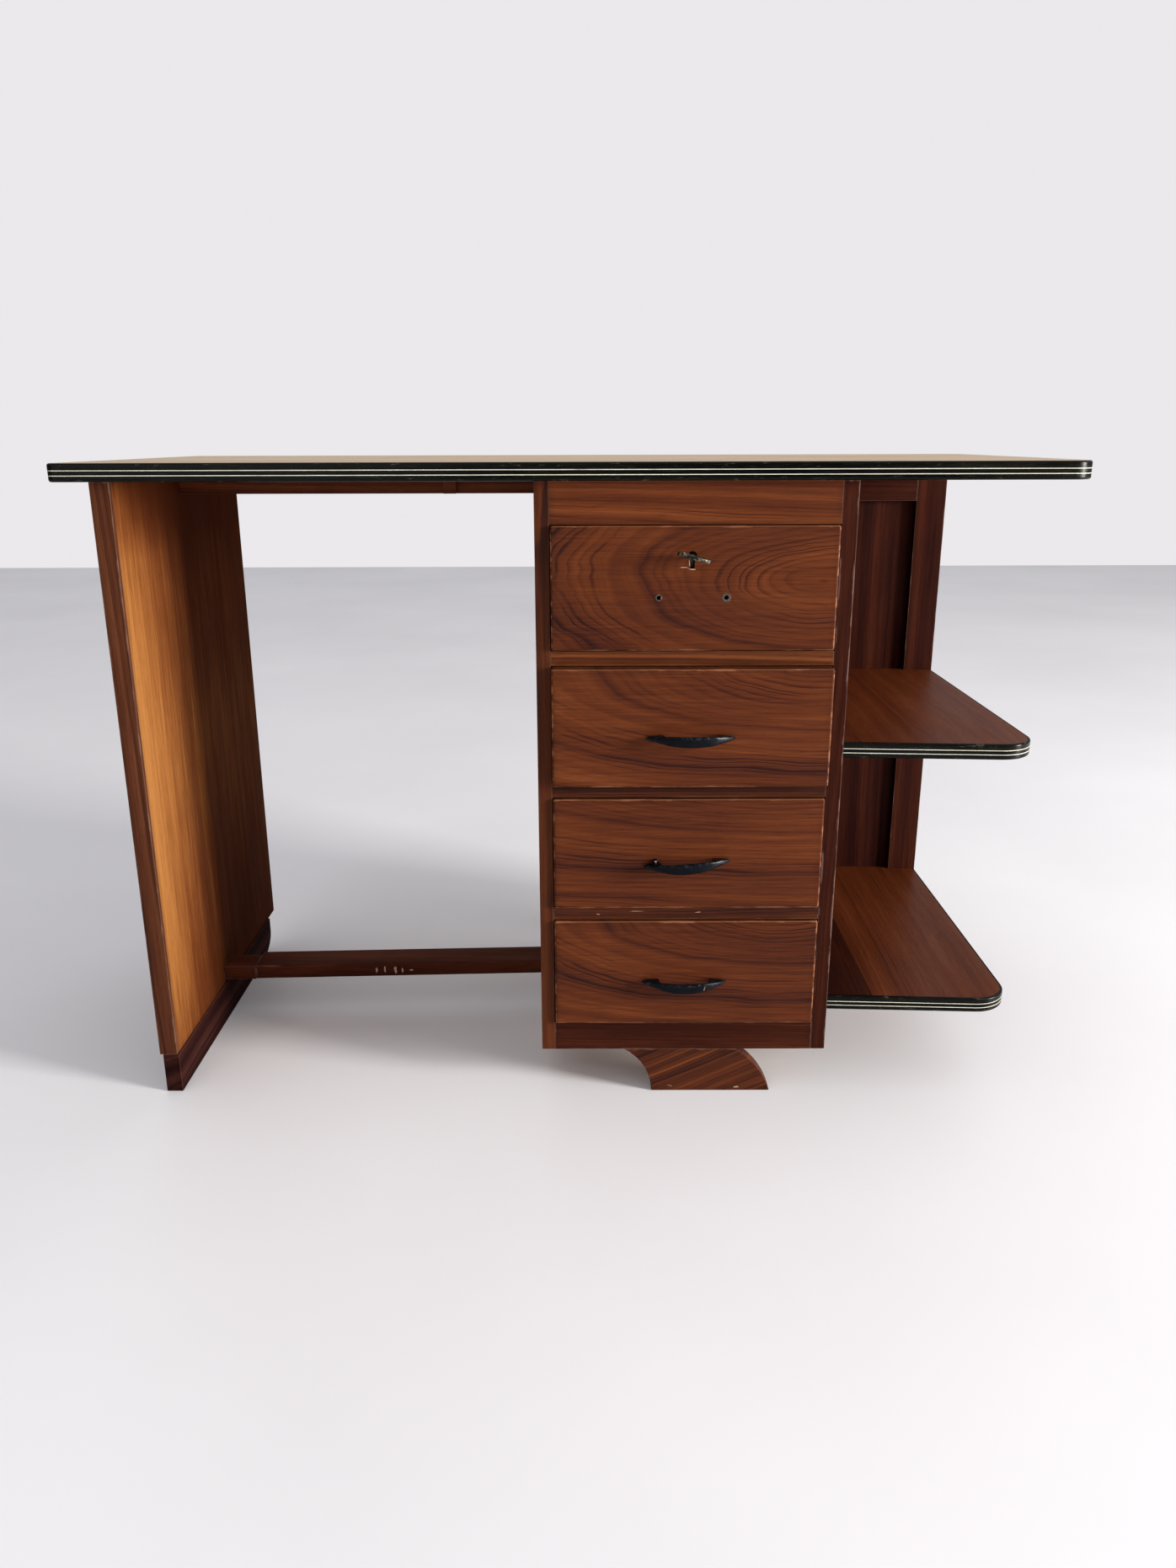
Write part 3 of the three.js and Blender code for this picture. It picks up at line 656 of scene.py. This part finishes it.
def board(node, material, along, face, seed, bevel=0.6, figure=None, stretch=FIGURE_STRETCH, **looks):
    """A plank that stands for one CAD node, with its edges eased by bevel millimetres."""
    mesh = refined_copy(node, bevel * MM)
    for axis, _ in looks.get("profiles", ()):
        slice_mesh(mesh, axis)
    draw = random.Random(seed * 7 + 1)
    if figure is None:
        side = draw.choice((-1, 1))
        figure = (draw.uniform(-0.4, 0.4), side * draw.uniform(0.10, 0.30), draw.uniform(0.03, 0.08))
    grain_space(mesh, along, face, figure_centre(node, along, face, figure), stretch, seed, **looks)
    stand_in(node, "wood", mesh, material)


# ---- outlines, bands and lofts
def rounded_outline(corners, inset, steps):
    """A convex outline of corners (x, y, radius), counter-clockwise, moved in by inset."""
    count = len(corners)
    lines = []
    for i, (x, y, _) in enumerate(corners):
        nx, ny, _ = corners[(i + 1) % count]
        way = Vector((nx - x, ny - y)).normalized()
        inward = Vector((-way.y, way.x))
        lines.append((way, inward, Vector((x, y)) + inward * inset))
    outline = []
    for i, (_, _, radius) in enumerate(corners):
        way0, in0, start0 = lines[i - 1]
        way1, _, start1 = lines[i]
        gap = start1 - start0
        turn = way0.x * way1.y - way0.y * way1.x
        vertex = start0 + way0 * ((gap.x * way1.y - gap.y * way1.x) / turn)
        left = radius - inset
        if left <= 0:
            outline.append(vertex)
            continue
        angle = way0.angle(way1)
        centre = vertex - way0 * (left * math.tan(angle / 2)) + in0 * left
        first = math.atan2(-in0.y, -in0.x)
        for k in range(steps + 1):
            a = first + angle * k / steps
            outline.append(centre + Vector((math.cos(a), math.sin(a))) * left)
    return outline


def skin_mesh(name, loops, closed=False):
    """Quads between loops of equal length. The ends are filled, unless the row of loops is closed."""
    size = len(loops[0])
    points = [p for loop in loops for p in loop]
    faces = []
    for i in range(len(loops) if closed else len(loops) - 1):
        a = i * size
        b = ((i + 1) % len(loops)) * size
        for j in range(size):
            k = (j + 1) % size
            faces.append((a + j, a + k, b + k, b + j))
    if not closed:
        last = (len(loops) - 1) * size
        faces.append(tuple(reversed(range(size))))
        faces.append(tuple(last + j for j in range(size)))
    mesh = bpy.data.meshes.new(name)
    mesh.from_pydata([tuple(p) for p in points], [], faces)
    with edited(mesh) as shape:
        bmesh.ops.recalc_face_normals(shape, faces=shape.faces)
    return mesh


BAND_THICK = 3.4 * MM
BAND_ROUND = 2.6 * MM
GROOVE_WIDTH = 0.9 * MM
GROOVE_DEPTH = 0.5 * MM
GROOVES = (0.40, 0.67)


def arc(cx, cy, radius, first, last, steps):
    turns = (first + (last - first) * k / steps for k in range(steps + 1))
    return [(cx + radius * math.cos(a), cy + radius * math.sin(a)) for a in turns]


def band_section(height):
    """The band's section as (inset, height, rim wear), from its back underside round the front."""
    section = [(BAND_THICK, 0.0, 0.0)]
    section += [(x, z, 1.0) for x, z in arc(BAND_ROUND, BAND_ROUND, BAND_ROUND, -math.pi / 2, -math.pi, 6)]
    half = GROOVE_WIDTH / 2
    for share in reversed(GROOVES):
        z = height * (1 - share)
        section += [(0.0, z - half - 0.2 * MM, 0.0), (0.1 * MM, z - half, 0.0), (GROOVE_DEPTH, z - half, 0.0),
                    (GROOVE_DEPTH, z + half, 0.0), (0.1 * MM, z + half, 0.0), (0.0, z + half + 0.2 * MM, 0.0)]
    top = arc(BAND_ROUND, height - BAND_ROUND, BAND_ROUND, math.pi, math.pi / 2, 6)
    section += [(x, z, 1.0) for x, z in top]
    section.append((BAND_THICK, height, 0.0))
    return section


def line_section(height, share):
    """The section of one pale line: it fills its groove and stands just inside the band's face."""
    half = GROOVE_WIDTH / 2 - 0.02 * MM
    z = height * (1 - share)
    return [(GROOVE_DEPTH, z - half, 0.0), (0.15 * MM, z - half, 0.0), (0.03 * MM, z - half * 0.6, 0.0),
            (0.0, z, 0.0), (0.03 * MM, z + half * 0.6, 0.0), (0.15 * MM, z + half, 0.0),
            (GROOVE_DEPTH, z + half, 0.0)]


def swept_band(name, corners, bottom, section, steps, pick=None):
    """A section swept round the outline of corners. pick makes an open row of each closed one."""
    rows = []
    for inset, height, _ in section:
        row = [Vector((p.x, p.y, bottom + height)) for p in rounded_outline(corners, inset, steps)]
        rows.append(pick(row) if pick else row)
    loops = [[row[i] for row in rows] for i in range(len(rows[0]))]
    mesh = skin_mesh(name, loops, closed=pick is None)
    rims = [rim for _ in rows[0] for _, _, rim in section]
    put_floats(mesh, "wear", rims)
    return mesh


def make_band(node, corners, steps, materials, pick=None):
    """The black edge band of one node, with a pale line in each of its grooves."""
    low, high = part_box(node)
    height = high.z - low.z
    mesh = swept_band(f"{node}_mesh", corners, low.z, band_section(height), steps, pick)
    stand_in(node, "plastic", mesh, materials["edge"])
    for label, share in zip(("upper", "lower"), GROOVES):
        line = swept_band(f"{node}_line_mesh", corners, low.z, line_section(height, share), steps, pick)
        add_piece(f"{node}_line_{label}", line, materials["inlay"], body_of(node))


# ---- desktop and shelves
TOP_RADII = (8 * MM, 28 * MM, 28 * MM, 8 * MM)
TOP_STEPS = 10
TOP_FIGURE = (0.1, 0.35, 0.05)
BOARD_INSET = BAND_THICK + 0.02 * MM
BOARD_RIM = 0.3 * MM


def plan_board(node, outline, material, along, seed, figure, label="wood", **looks):
    """A level board with the given outline, and a narrow row of faces under its top rim."""
    low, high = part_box(node)
    heights = (low.z, high.z - BOARD_RIM, high.z)
    mesh = skin_mesh(f"{node}_mesh", [[Vector((p.x, p.y, z)) for p in outline] for z in heights])
    grain_space(mesh, along, Z, figure_centre(node, along, Z, figure), FIGURE_STRETCH, seed, **looks)
    stand_in(node, label, mesh, material)


def make_desktop(materials):
    low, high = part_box("desktop_edge_band")
    spots = [(low.x, low.y), (high.x, low.y), (high.x, high.y), (low.x, high.y)]
    corners = [(x, y, r) for (x, y), r in zip(spots, TOP_RADII)]
    make_band("desktop_edge_band", corners, TOP_STEPS, materials)
    outline = rounded_outline(corners, BOARD_INSET, TOP_STEPS)
    plan_board("desktop_board", outline, materials["maple"], X, 11, TOP_FIGURE, wear=0.0)


SHELF_RADIUS = 42 * MM
SHELF_STEPS = 12
SHELF_FIGURE = (0.1, -0.22, 0.05)
LOWER_SHELF_SEAM = 0.373
ON_EDGE = 0.01 * MM
FIT_ROUNDS = 20
FIT_STEPS = 24


def fit_corner(left, left_front, right, foremost):
    """The y where the front line meets the right edge, for a rounded corner whose foremost y is given."""
    guess = foremost
    for _ in range(FIT_ROUNDS):
        corners = [(left, left_front, 0), (right, guess, SHELF_RADIUS), (right, 1.0, 0), (left, 1.0, 0)]
        guess += foremost - min(p.y for p in rounded_outline(corners, 0.0, FIT_STEPS))
    return guess


def one_side(outline, x, side):
    """The part of an outline to the right (side 1) or left (side -1) of x."""
    kept = []
    for i, point in enumerate(outline):
        following = outline[(i + 1) % len(outline)]
        a, b = (point.x - x) * side, (following.x - x) * side
        if a >= 0:
            kept.append(point)
        if (a > 0) != (b > 0) and a != 0 and b != 0:
            kept.append(point.lerp(following, a / (a - b)))
    return kept


def make_shelf(name, seed, materials, seam=None):
    """A shelf whose front edge runs forward to the right and turns a round corner to its right edge.

    With a seam, the board is two pieces that meet at that x, a darker strip and the rest.
    """
    band, node = f"{name}_band", f"{name}_board"
    low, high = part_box(band)
    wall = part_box("back_stile")[0].y
    points = [v.co for v in frame["nodes"][band].data.vertices]
    left_front = min(p.y for p in points if p.x < low.x + ON_EDGE)
    # The straight front edge would meet the right edge this far forward if its corner weren't rounded.
    corner_front = fit_corner(low.x, left_front, high.x, low.y)
    corners = [(low.x, left_front, 0), (high.x, corner_front, SHELF_RADIUS)]
    corners += [(high.x, wall, 0), (low.x, wall, 0)]

    def to_walls(row):
        """The front and right edges only, from the pedestal's side to the wall behind the shelf."""
        edge = [p.copy() for p in row[:-1]]
        slope = (edge[1].y - edge[0].y) / (edge[1].x - edge[0].x)
        edge[0].y += slope * (low.x - edge[0].x)
        edge[0].x = low.x
        edge[-1].y = wall
        return edge

    make_band(band, corners, SHELF_STEPS, materials, to_walls)
    edge = to_walls([Vector((p.x, p.y, 0)) for p in rounded_outline(corners, BOARD_INSET, SHELF_STEPS)])
    stile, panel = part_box("back_stile")[0].x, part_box("back_panel")[0].y
    outline = edge + [Vector(p) for p in ((stile, wall, 0), (stile, panel, 0), (low.x, panel, 0))]
    veneer = materials["shelf"]
    looks = {"figure": SHELF_FIGURE, "wear": 0.0}
    if seam is None:
        # The fade paints shade: the upper board darkens towards the pedestal at its left.
        plan_board(node, outline, veneer, Y, seed, tone=-0.04, fade=(0.10, 0.0, 0.0), **looks)
        return
    plan_board(node, one_side(outline, seam, 1), veneer, Y, seed, tone=-0.02, **looks)
    plan_board(node, one_side(outline, seam, -1), veneer, Y, seed + 20, label="strip", tone=-0.32, **looks)


# ---- carcass
# Painted light and shade of the left panel, as (share of the way, tone): from its front edge back, and from
# its foot up.
LEG_DEPTH_LIGHT_AND_SHADE = ((0.0, 0.02), (0.07, 0.0), (0.18, -0.12), (0.32, -0.24), (0.50, -0.34), (1.0, -0.32))
LEG_HEIGHT_LIGHT_AND_SHADE = ((0.0, -0.20), (0.10, -0.14), (0.20, -0.07), (0.35, 0.01), (0.52, 0.05), (0.65, -0.02),
                    (0.86, -0.04), (0.96, -0.33), (1.0, -0.36))
FOOT_LOOKS = {"bevel": 1.2, "stretch": 0.2, "figure": (0.05, 0.12, 0.02)}


def make_leg(m):
    """The panel leg at the left, and the rail and stretcher that join it to the pedestal."""
    # Its profiles paint a lit strip along the front edge, shade towards the back, and shade at the foot and
    # under the top.
    board("left_side_panel", m["leg"], Z, X, 21, figure=(0.2, 0.35, 0.04), stretch=0.10, wear=0.3,
          profiles=((Y, LEG_DEPTH_LIGHT_AND_SHADE), (Z, LEG_HEIGHT_LIGHT_AND_SHADE)))
    board("left_panel_lipping", m["lip"], Z, Y, 22, wear=0.9, bevel=0.8, tone=0.04)
    board("left_plinth", m["plinth"], Y, X, 23, wear=0.4, bevel=1.0, tone=-0.10)
    board("knee_rail", m["rail"], X, Y, 24, tone=-0.04, wear=0.2)
    # The fades paint light on the stretcher and its end block: paler towards the top and the back, darker low
    # on the front.
    board("stretcher", m["panel"], X, Z, 25, tone=-0.12, wear=0.9, bevel=0.8, fade=(0, 0.10, 0.18))
    board("stretcher_end_block", m["panel"], X, Z, 26, tone=-0.16, wear=0.8, fade=(0, 0.08, 0.16))


def make_pedestal(m):
    """The box that holds the drawers, with its rails and runners, on its two feet."""
    board("pedestal_left_side", m["rail"], Z, X, 31, wear=0.5, tone=-0.20, bevel=0.8)
    board("pedestal_right_side", m["panel"], Z, X, 32, wear=1.2, tone=-0.15, bevel=0.8)
    board("top_rail", m["front"], X, Y, 33, figure=(0.3, 0.16, 0.03), wear=0.2, tone=0.02)
    for i, tone in ((1, 0.10), (2, -0.14), (3, -0.14)):
        board(f"divider_rail_{i}", m["rail"], X, Y, 33 + i, wear=0.7, tone=tone)
    board("bottom_rail", m["panel"], X, Y, 38, wear=0.5, tone=-0.15)
    board("pedestal_bottom", m["box"], X, Z, 39, wear=0.2)
    for i in (1, 2, 3, 4):
        board(f"runner_{i}_left", m["box"], Y, Z, 41 + 2 * i, wear=0.3)
        board(f"runner_{i}_right", m["box"], Y, Z, 40 + 2 * i, wear=0.3)
    board("foot_front", m["rail"], X, Y, 51, wear=1.0, twist=math.radians(-26), tone=-0.10, **FOOT_LOOKS)
    board("foot_rear", m["rail"], X, Y, 52, wear=0.6, twist=math.radians(24), tone=-0.12, **FOOT_LOOKS)


def make_framed_back(panel):
    """The frame and panel behind the shelves."""
    # Their low tones are partly the boards' own dark colour and partly painted shade of the bay behind the
    # shelves.
    board("back_stile", panel, Z, Y, 53, wear=0.6, tone=-0.22)
    board("back_top_rail", panel, X, Y, 54, wear=0.4, tone=-0.19)
    board("back_panel", panel, Z, Y, 55, wear=0.1, tone=-0.24, figure=(0.1, 0.3, 0.05))


PIN_INSET = 9 * MM
PIN_ROWS = 9
PIN_COLUMNS = 4
PIN_HEAD = ((0.2, 0.0), (1.7, 0.0), (1.6, 0.25), (1.1, 0.5), (0.2, 0.6))


def make_pedestal_back(materials):
    """The back sheet of the pedestal, with small pin heads all along its rim."""
    sheet = refined_copy("pedestal_back", 0.4 * MM)
    stand_in("pedestal_back", "sheet", sheet, materials["hardboard"])
    low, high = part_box("pedestal_back")
    left, right = low.x + PIN_INSET, high.x - PIN_INSET
    bottom, top = low.z + PIN_INSET, high.z - PIN_INSET
    bases = []
    for i in range(PIN_ROWS):
        z = bottom + (top - bottom) * i / (PIN_ROWS - 1)
        bases += [(left, high.y, z), (right, high.y, z)]
    for i in range(1, PIN_COLUMNS):
        x = left + (right - left) * i / PIN_COLUMNS
        bases += [(x, high.y, bottom), (x, high.y, top)]
    steel = materials["steel"]
    turned("pedestal_back_pins", PIN_HEAD, bases, BACKWARD, steel, "carcass", wear=0.3)


# The divider's chips: metres along x, millimetres under its top, size, turn.
DIVIDER_CHIPS = ((0.075, 5.0, (20, 1.1), 0.0), (0.150, 6.5, (9, 1.2), 0.1), (0.028, 9.0, (6, 1.2), -0.1))
# The foot's chips: metres along x, millimetres above the floor, size, turn.
FOOT_CHIPS = ((0.205, 5.0, (10, 3.0), 0.1), (0.120, 7.0, (8, 1.2), -0.2))
# The stretcher's chips, all at one height above its underside: metres from its middle, size.
STRETCHER_CHIPS = ((-0.036, (4.2, 10.5)), (-0.024, (3.0, 13.0)), (-0.009, (5.2, 15.0)), (0.001, (2.8, 10.0)),
                   (0.014, (8.5, 3.0)))
STRETCHER_CHIP_RISE = 13 * MM


def make_scars(bare):
    """Chips along the lowest divider, the front foot and the stretcher."""
    rail_low, rail_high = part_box("divider_rail_3")
    for i, (x, down, size, turn) in enumerate(DIVIDER_CHIPS):
        centre = (x, rail_low.y, rail_high.z - down * MM)
        flake(f"divider_chip_{i + 1}", centre, size, 500 + i, bare, "carcass", turn)
    foot_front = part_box("foot_front")[0].y
    for i, (x, up, size, turn) in enumerate(FOOT_CHIPS):
        flake(f"foot_chip_{i + 1}", (x, foot_front, up * MM), size, 503 + i, bare, "carcass", turn)
    low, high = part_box("stretcher")
    middle = (low.x + high.x) / 2
    for i, (shift, size) in enumerate(STRETCHER_CHIPS):
        centre = (middle + shift, low.y, low.z + STRETCHER_CHIP_RISE)
        flake(f"stretcher_chip_{i + 1}", centre, size, 520 + i, bare, "carcass")


# ---- drawers
# Ring centres of the four fronts, from each one's middle: nested arches that open to the right.
FRONT_FIGURES = {
    1: {"figure": (0.152, 0.012, 0.014), "stretch": 0.40},
    2: {"figure": (0.165, 0.080, 0.010), "stretch": 0.30, "tone": 0.02},
    3: {"figure": (0.135, 0.105, 0.020), "stretch": 0.22},
    4: {"figure": (0.130, 0.092, 0.015), "stretch": 0.34, "tone": -0.02},
}


def make_drawer(number, materials):
    """The wooden parts of one drawer and its hardboard bottom."""
    name = f"drawer_{number}"
    looks = FRONT_FIGURES[number]
    board(f"{name}_front", materials["front"], X, Y, 60 + number, bevel=1.2, wear=1.2, **looks)
    seed = 70 + 5 * number
    board(f"{name}_left_side", materials["box"], Y, X, seed, wear=0.3)
    board(f"{name}_right_side", materials["box"], Y, X, seed + 1, wear=0.3)
    board(f"{name}_back", materials["box"], X, Y, seed + 2, wear=0.3)
    sheet = refined_copy(f"{name}_bottom", 0.3 * MM)
    stand_in(f"{name}_bottom", "sheet", sheet, materials["hardboard"])


# ---- small round and flat pieces
TURNED_STEPS = 28
RING_STEPS = 32


def ways_round(outward, steps):
    """Unit vectors at right angles to outward, at even steps all round it."""
    side = outward.orthogonal().normalized()
    up = outward.cross(side)
    turns = (2 * math.pi * k / steps for k in range(steps))
    return [side * math.cos(a) + up * math.sin(a) for a in turns]


def turned_mesh(name, profile, base, outward):
    """A solid turned from (radius, height) pairs in millimetres, which stands on base and points outward."""
    ways = ways_round(outward, TURNED_STEPS)
    loops = [[base + outward * (h * MM) + way * (r * MM) for way in ways] for r, h in profile]
    return skin_mesh(name, loops)


def ring_mesh(name, profile, base, outward):
    """A ring, open in the middle, whose closed section is of (radius, height) pairs in millimetres."""
    ways = ways_round(outward, RING_STEPS)
    loops = [[base + outward * (h * MM) + way * (r * MM) for r, h in profile] for way in ways]
    return skin_mesh(name, loops, closed=True)


def turned(name, profile, bases, outward, material, body, wear=0.5):
    """One piece that holds the same small turned shape at each of the bases."""
    shape = bmesh.new()
    for base in bases:
        part = turned_mesh(f"{name}_part", profile, Vector(base), outward)
        shape.from_mesh(part)
        bpy.data.meshes.remove(part)
    mesh = bpy.data.meshes.new(f"{name}_mesh")
    shape.to_mesh(mesh)
    shape.free()
    put_wear(mesh, wear)
    add_piece(name, mesh, material, body)


FLAKE_POINTS = 17
FLAKE_THICK = 0.14 * MM
# Loops of a flake from the surface outward: height, and share of its full size.
FLAKE_LOOPS = ((0.0, 1.0), (FLAKE_THICK * 0.7, 0.92), (FLAKE_THICK, 0.70))


def flake(name, centre, size, seed, material, body, turn=0.0):
    """A thin ragged patch of bare wood on a front face. size is (width, height) in millimetres."""
    draw = random.Random(seed)
    spread = [draw.uniform(0.5, 1.0) for _ in range(FLAKE_POINTS)]
    side = Vector((math.cos(turn), 0, math.sin(turn)))
    up = Vector((-math.sin(turn), 0, math.cos(turn)))
    loops = []
    for height, share in FLAKE_LOOPS:
        loop = []
        for i, reach in enumerate(spread):
            a = 2 * math.pi * i / FLAKE_POINTS
            across = math.cos(a) * size[0] * MM / 2 * reach * share
            along = math.sin(a) * size[1] * MM / 2 * reach * share
            loop.append(Vector(centre) + side * across + up * along + FORWARD * height)
        loops.append(loop)
    add_piece(name, skin_mesh(f"{name}_mesh", loops), material, body)


# ---- bow handles
# All in millimetres: along the bow from its middle, outward from the drawer front, and up.
BOW_HALF = 52.0
BOW_BAR = 5.0
# At the tips and in the middle: how far out the bow reaches, and how tall it is.
BOW_REACH = (4.0, 26.0)
BOW_TALL = (1.6, 12.5)
# The gap behind the bar closes over the first range and opens again over the second.
PAD_STARTS = (29.5, 31.2)
PAD_ENDS = (48.2, 49.6)
# Points of the section as shares of depth outward and height up, and the two with a painted highlight on its
# upper corner.
BOW_SECTION = ((0.02, -0.34), (0.45, -0.46), (0.80, -0.49), (0.96, -0.38), (1.00, -0.16), (1.00, 0.14),
               (0.985, 0.40), (0.93, 0.51), (0.72, 0.54), (0.42, 0.52), (0.15, 0.45), (0.02, 0.34))
BOW_CORNER = (6, 7)
CORNER_HIGHLIGHT = 0.35
TIP_WEAR = 0.6
BOW_STEPS = 72
# The last sections lie just inside the pointed tips, as a share of the half length.
BOW_END = 0.997


def ease(value, low, high):
    """Rises smoothly from 0 to 1 as the value goes from low to high."""
    t = min(1.0, max(0.0, (value - low) / (high - low)))
    return t * t * (3 - 2 * t)


def bow_loop(share):
    """One cross-section of the bow as (x, out, up) in millimetres, out measured from the drawer front."""
    x = share * BOW_HALF
    swell = 1 - share * share
    tip, middle = BOW_REACH
    outer = tip + (middle - tip) * swell
    low, high = BOW_TALL
    tall = low + (high - low) * swell ** 0.8
    free = max(outer - BOW_BAR, outer * 0.35)
    on_pad = ease(abs(x), *PAD_STARTS) * (1 - ease(abs(x), *PAD_ENDS))
    inner = free * (1 - on_pad)
    return [(x, inner + (outer - inner) * out, tall * up) for out, up in BOW_SECTION]


# The third handle hangs askew, and its left pad has a lug with a bright screw just above the bar.
TILTED_HANDLE = 3
TILT = math.radians(-4.5)
LUG_PLACE = Vector((-37.0, 0, 4.6))
LUG = ((0.4, 0.0), (3.5, 0.0), (3.6, 1.2), (3.2, 2.0), (2.4, 2.3), (0.4, 2.3))
SCREW_DOME = ((1.5, 2.2), (1.5, 2.6), (1.1, 3.1), (0.6, 3.4), (0.15, 3.45))
# The fourth has a scratch on the right half of its face.
SCRATCHED_HANDLE = 4
SCRATCH_PLACE = Vector((24.0, -21.6, -0.5)) * MM
SCRATCH_SIZE = (1.1, 7.5)
INNER_SCREW_REACH = 38 * MM
INNER_SCREW = ((0.3, 0.0), (3.6, 0.0), (3.6, 0.5), (3.0, 1.5), (1.8, 2.1), (0.3, 2.3))


def make_handle(number, materials):
    """A black bow with pointed ends that stands on two pads, with two screw heads inside the drawer."""
    node = f"handle_{number}"
    body, slot = body_of(node), slot_of(node)
    low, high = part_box(node)
    front, inside = (corner.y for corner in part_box(f"drawer_{number}_front"))
    middle = Vector(((low.x + high.x) / 2, front, (low.z + high.z) / 2))
    tilt = Matrix.Rotation(TILT if number == TILTED_HANDLE else 0.0, 3, "Y")
    shares = [math.sin(math.pi / 2 * (2 * i / BOW_STEPS - 1)) * BOW_END for i in range(BOW_STEPS + 1)]
    loops = [[middle + tilt @ Vector((x, -out, up)) * MM for x, out, up in bow_loop(t)] for t in shares]
    mesh = skin_mesh(f"{node}_mesh", loops)
    # The bow's upper corner gets a painted highlight through the wear attribute, and its tips get wear.
    rubbed = [CORNER_HIGHLIGHT if i in BOW_CORNER else 0.0 for i in range(len(BOW_SECTION))]
    put_floats(mesh, "wear", [max(edge, TIP_WEAR * abs(t) ** 6) for t in shares for edge in rubbed])
    stand_in(node, "bow", mesh, materials["handle"])
    bases = [(middle.x + sign * INNER_SCREW_REACH, inside, middle.z) for sign in (-1, 1)]
    turned(f"{node}_inner_screws", INNER_SCREW, bases, BACKWARD, materials["steel"], body, wear=0.5)
    if number == TILTED_HANDLE:
        spot = middle + tilt @ LUG_PLACE * MM
        turned(f"{node}_lug", LUG, [spot], FORWARD, materials["handle"], body, wear=0.0)
        turned(f"{node}_screw", SCREW_DOME, [spot], FORWARD, materials["bright"], body, wear=0.8)
    if number == SCRATCHED_HANDLE:
        place = middle + SCRATCH_PLACE
        flake(f"{node}_scratch", place, SCRATCH_SIZE, 401, materials["bare"], body, turn=-0.25)


# ---- lock and key
METAL_WEAR = 0.8
# Node, material and how far its edges are eased.
LOCK_PIECES = (("lock_case", "steel", 0.4 * MM), ("lock_bolt", "steel", 0.4 * MM), ("key", "brass", 0.7 * MM))
OLD_SCREW_HEIGHT = 632.5 * MM
# The old handle's screw holes: their radius in millimetres, then for each its name, its place along x, and
# the outer radius in millimetres and the wear of the rim round it.
HOLE_RADIUS = 2.35
OLD_SCREWS = (("left", 96.0 * MM, 3.9, 1.0), ("right", 172.0 * MM, 5.2, 0.6))
KEYHOLE_X = 133.0 * MM
# Chips at the keyhole: name, shift along x, height, size (width, height) in millimetres, turn.
KEYHOLE_CHIPS = (
    ("side", -3.4 * MM, 671.0 * MM, (1.5, 10.0), 0.08),
    ("under", -0.8 * MM, 664.2 * MM, (11.0, 1.9), -0.06),
    ("left", -9.5 * MM, 666.2 * MM, (10.0, 1.7), -0.04),
)


def rim_profile(outer):
    """The section of a low rim round a screw hole, as (radius, height) pairs in millimetres."""
    hole = HOLE_RADIUS
    return ((hole, 0.0), (outer, 0.0), (outer - 0.3, 0.12), (outer * 0.75, 0.30), (hole + 0.35, 0.18))


def make_lock(materials):
    """Lock, bolt and key, and the traces of the old handle and of the key on the top drawer's front."""
    for node, material, bevel in LOCK_PIECES:
        mesh = refined_copy(node, bevel)
        put_wear(mesh, METAL_WEAR)
        stand_in(node, "metal", mesh, materials[material])
    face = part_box("drawer_1_front")[0].y
    for name, x, outer, wear in OLD_SCREWS:
        base = Vector((x, face, OLD_SCREW_HEIGHT))
        mesh = ring_mesh(f"old_screw_{name}_mesh", rim_profile(outer), base, FORWARD)
        put_wear(mesh, wear)
        add_piece(f"old_screw_{name}_rim", mesh, materials["ring"], "drawer_1")
    for i, (name, shift, height, size, turn) in enumerate(KEYHOLE_CHIPS):
        centre = (KEYHOLE_X + shift, face, height)
        flake(f"keyhole_chip_{name}", centre, size, 300 + i, materials["bare"], "drawer_1", turn)


# ---- everything
make_camera()
make_light()
palette = make_materials()
make_floor(palette["floor"])
make_desktop(palette)
make_leg(palette)
make_pedestal(palette)
make_framed_back(palette["panel"])
make_pedestal_back(palette)
make_scars(palette["bare"])
make_shelf("upper_shelf", 57, palette)
make_shelf("lower_shelf", 58, palette, seam=LOWER_SHELF_SEAM)
for number in (1, 2, 3, 4):
    make_drawer(number, palette)
for number in (2, 3, 4):
    make_handle(number, palette)
make_lock(palette)
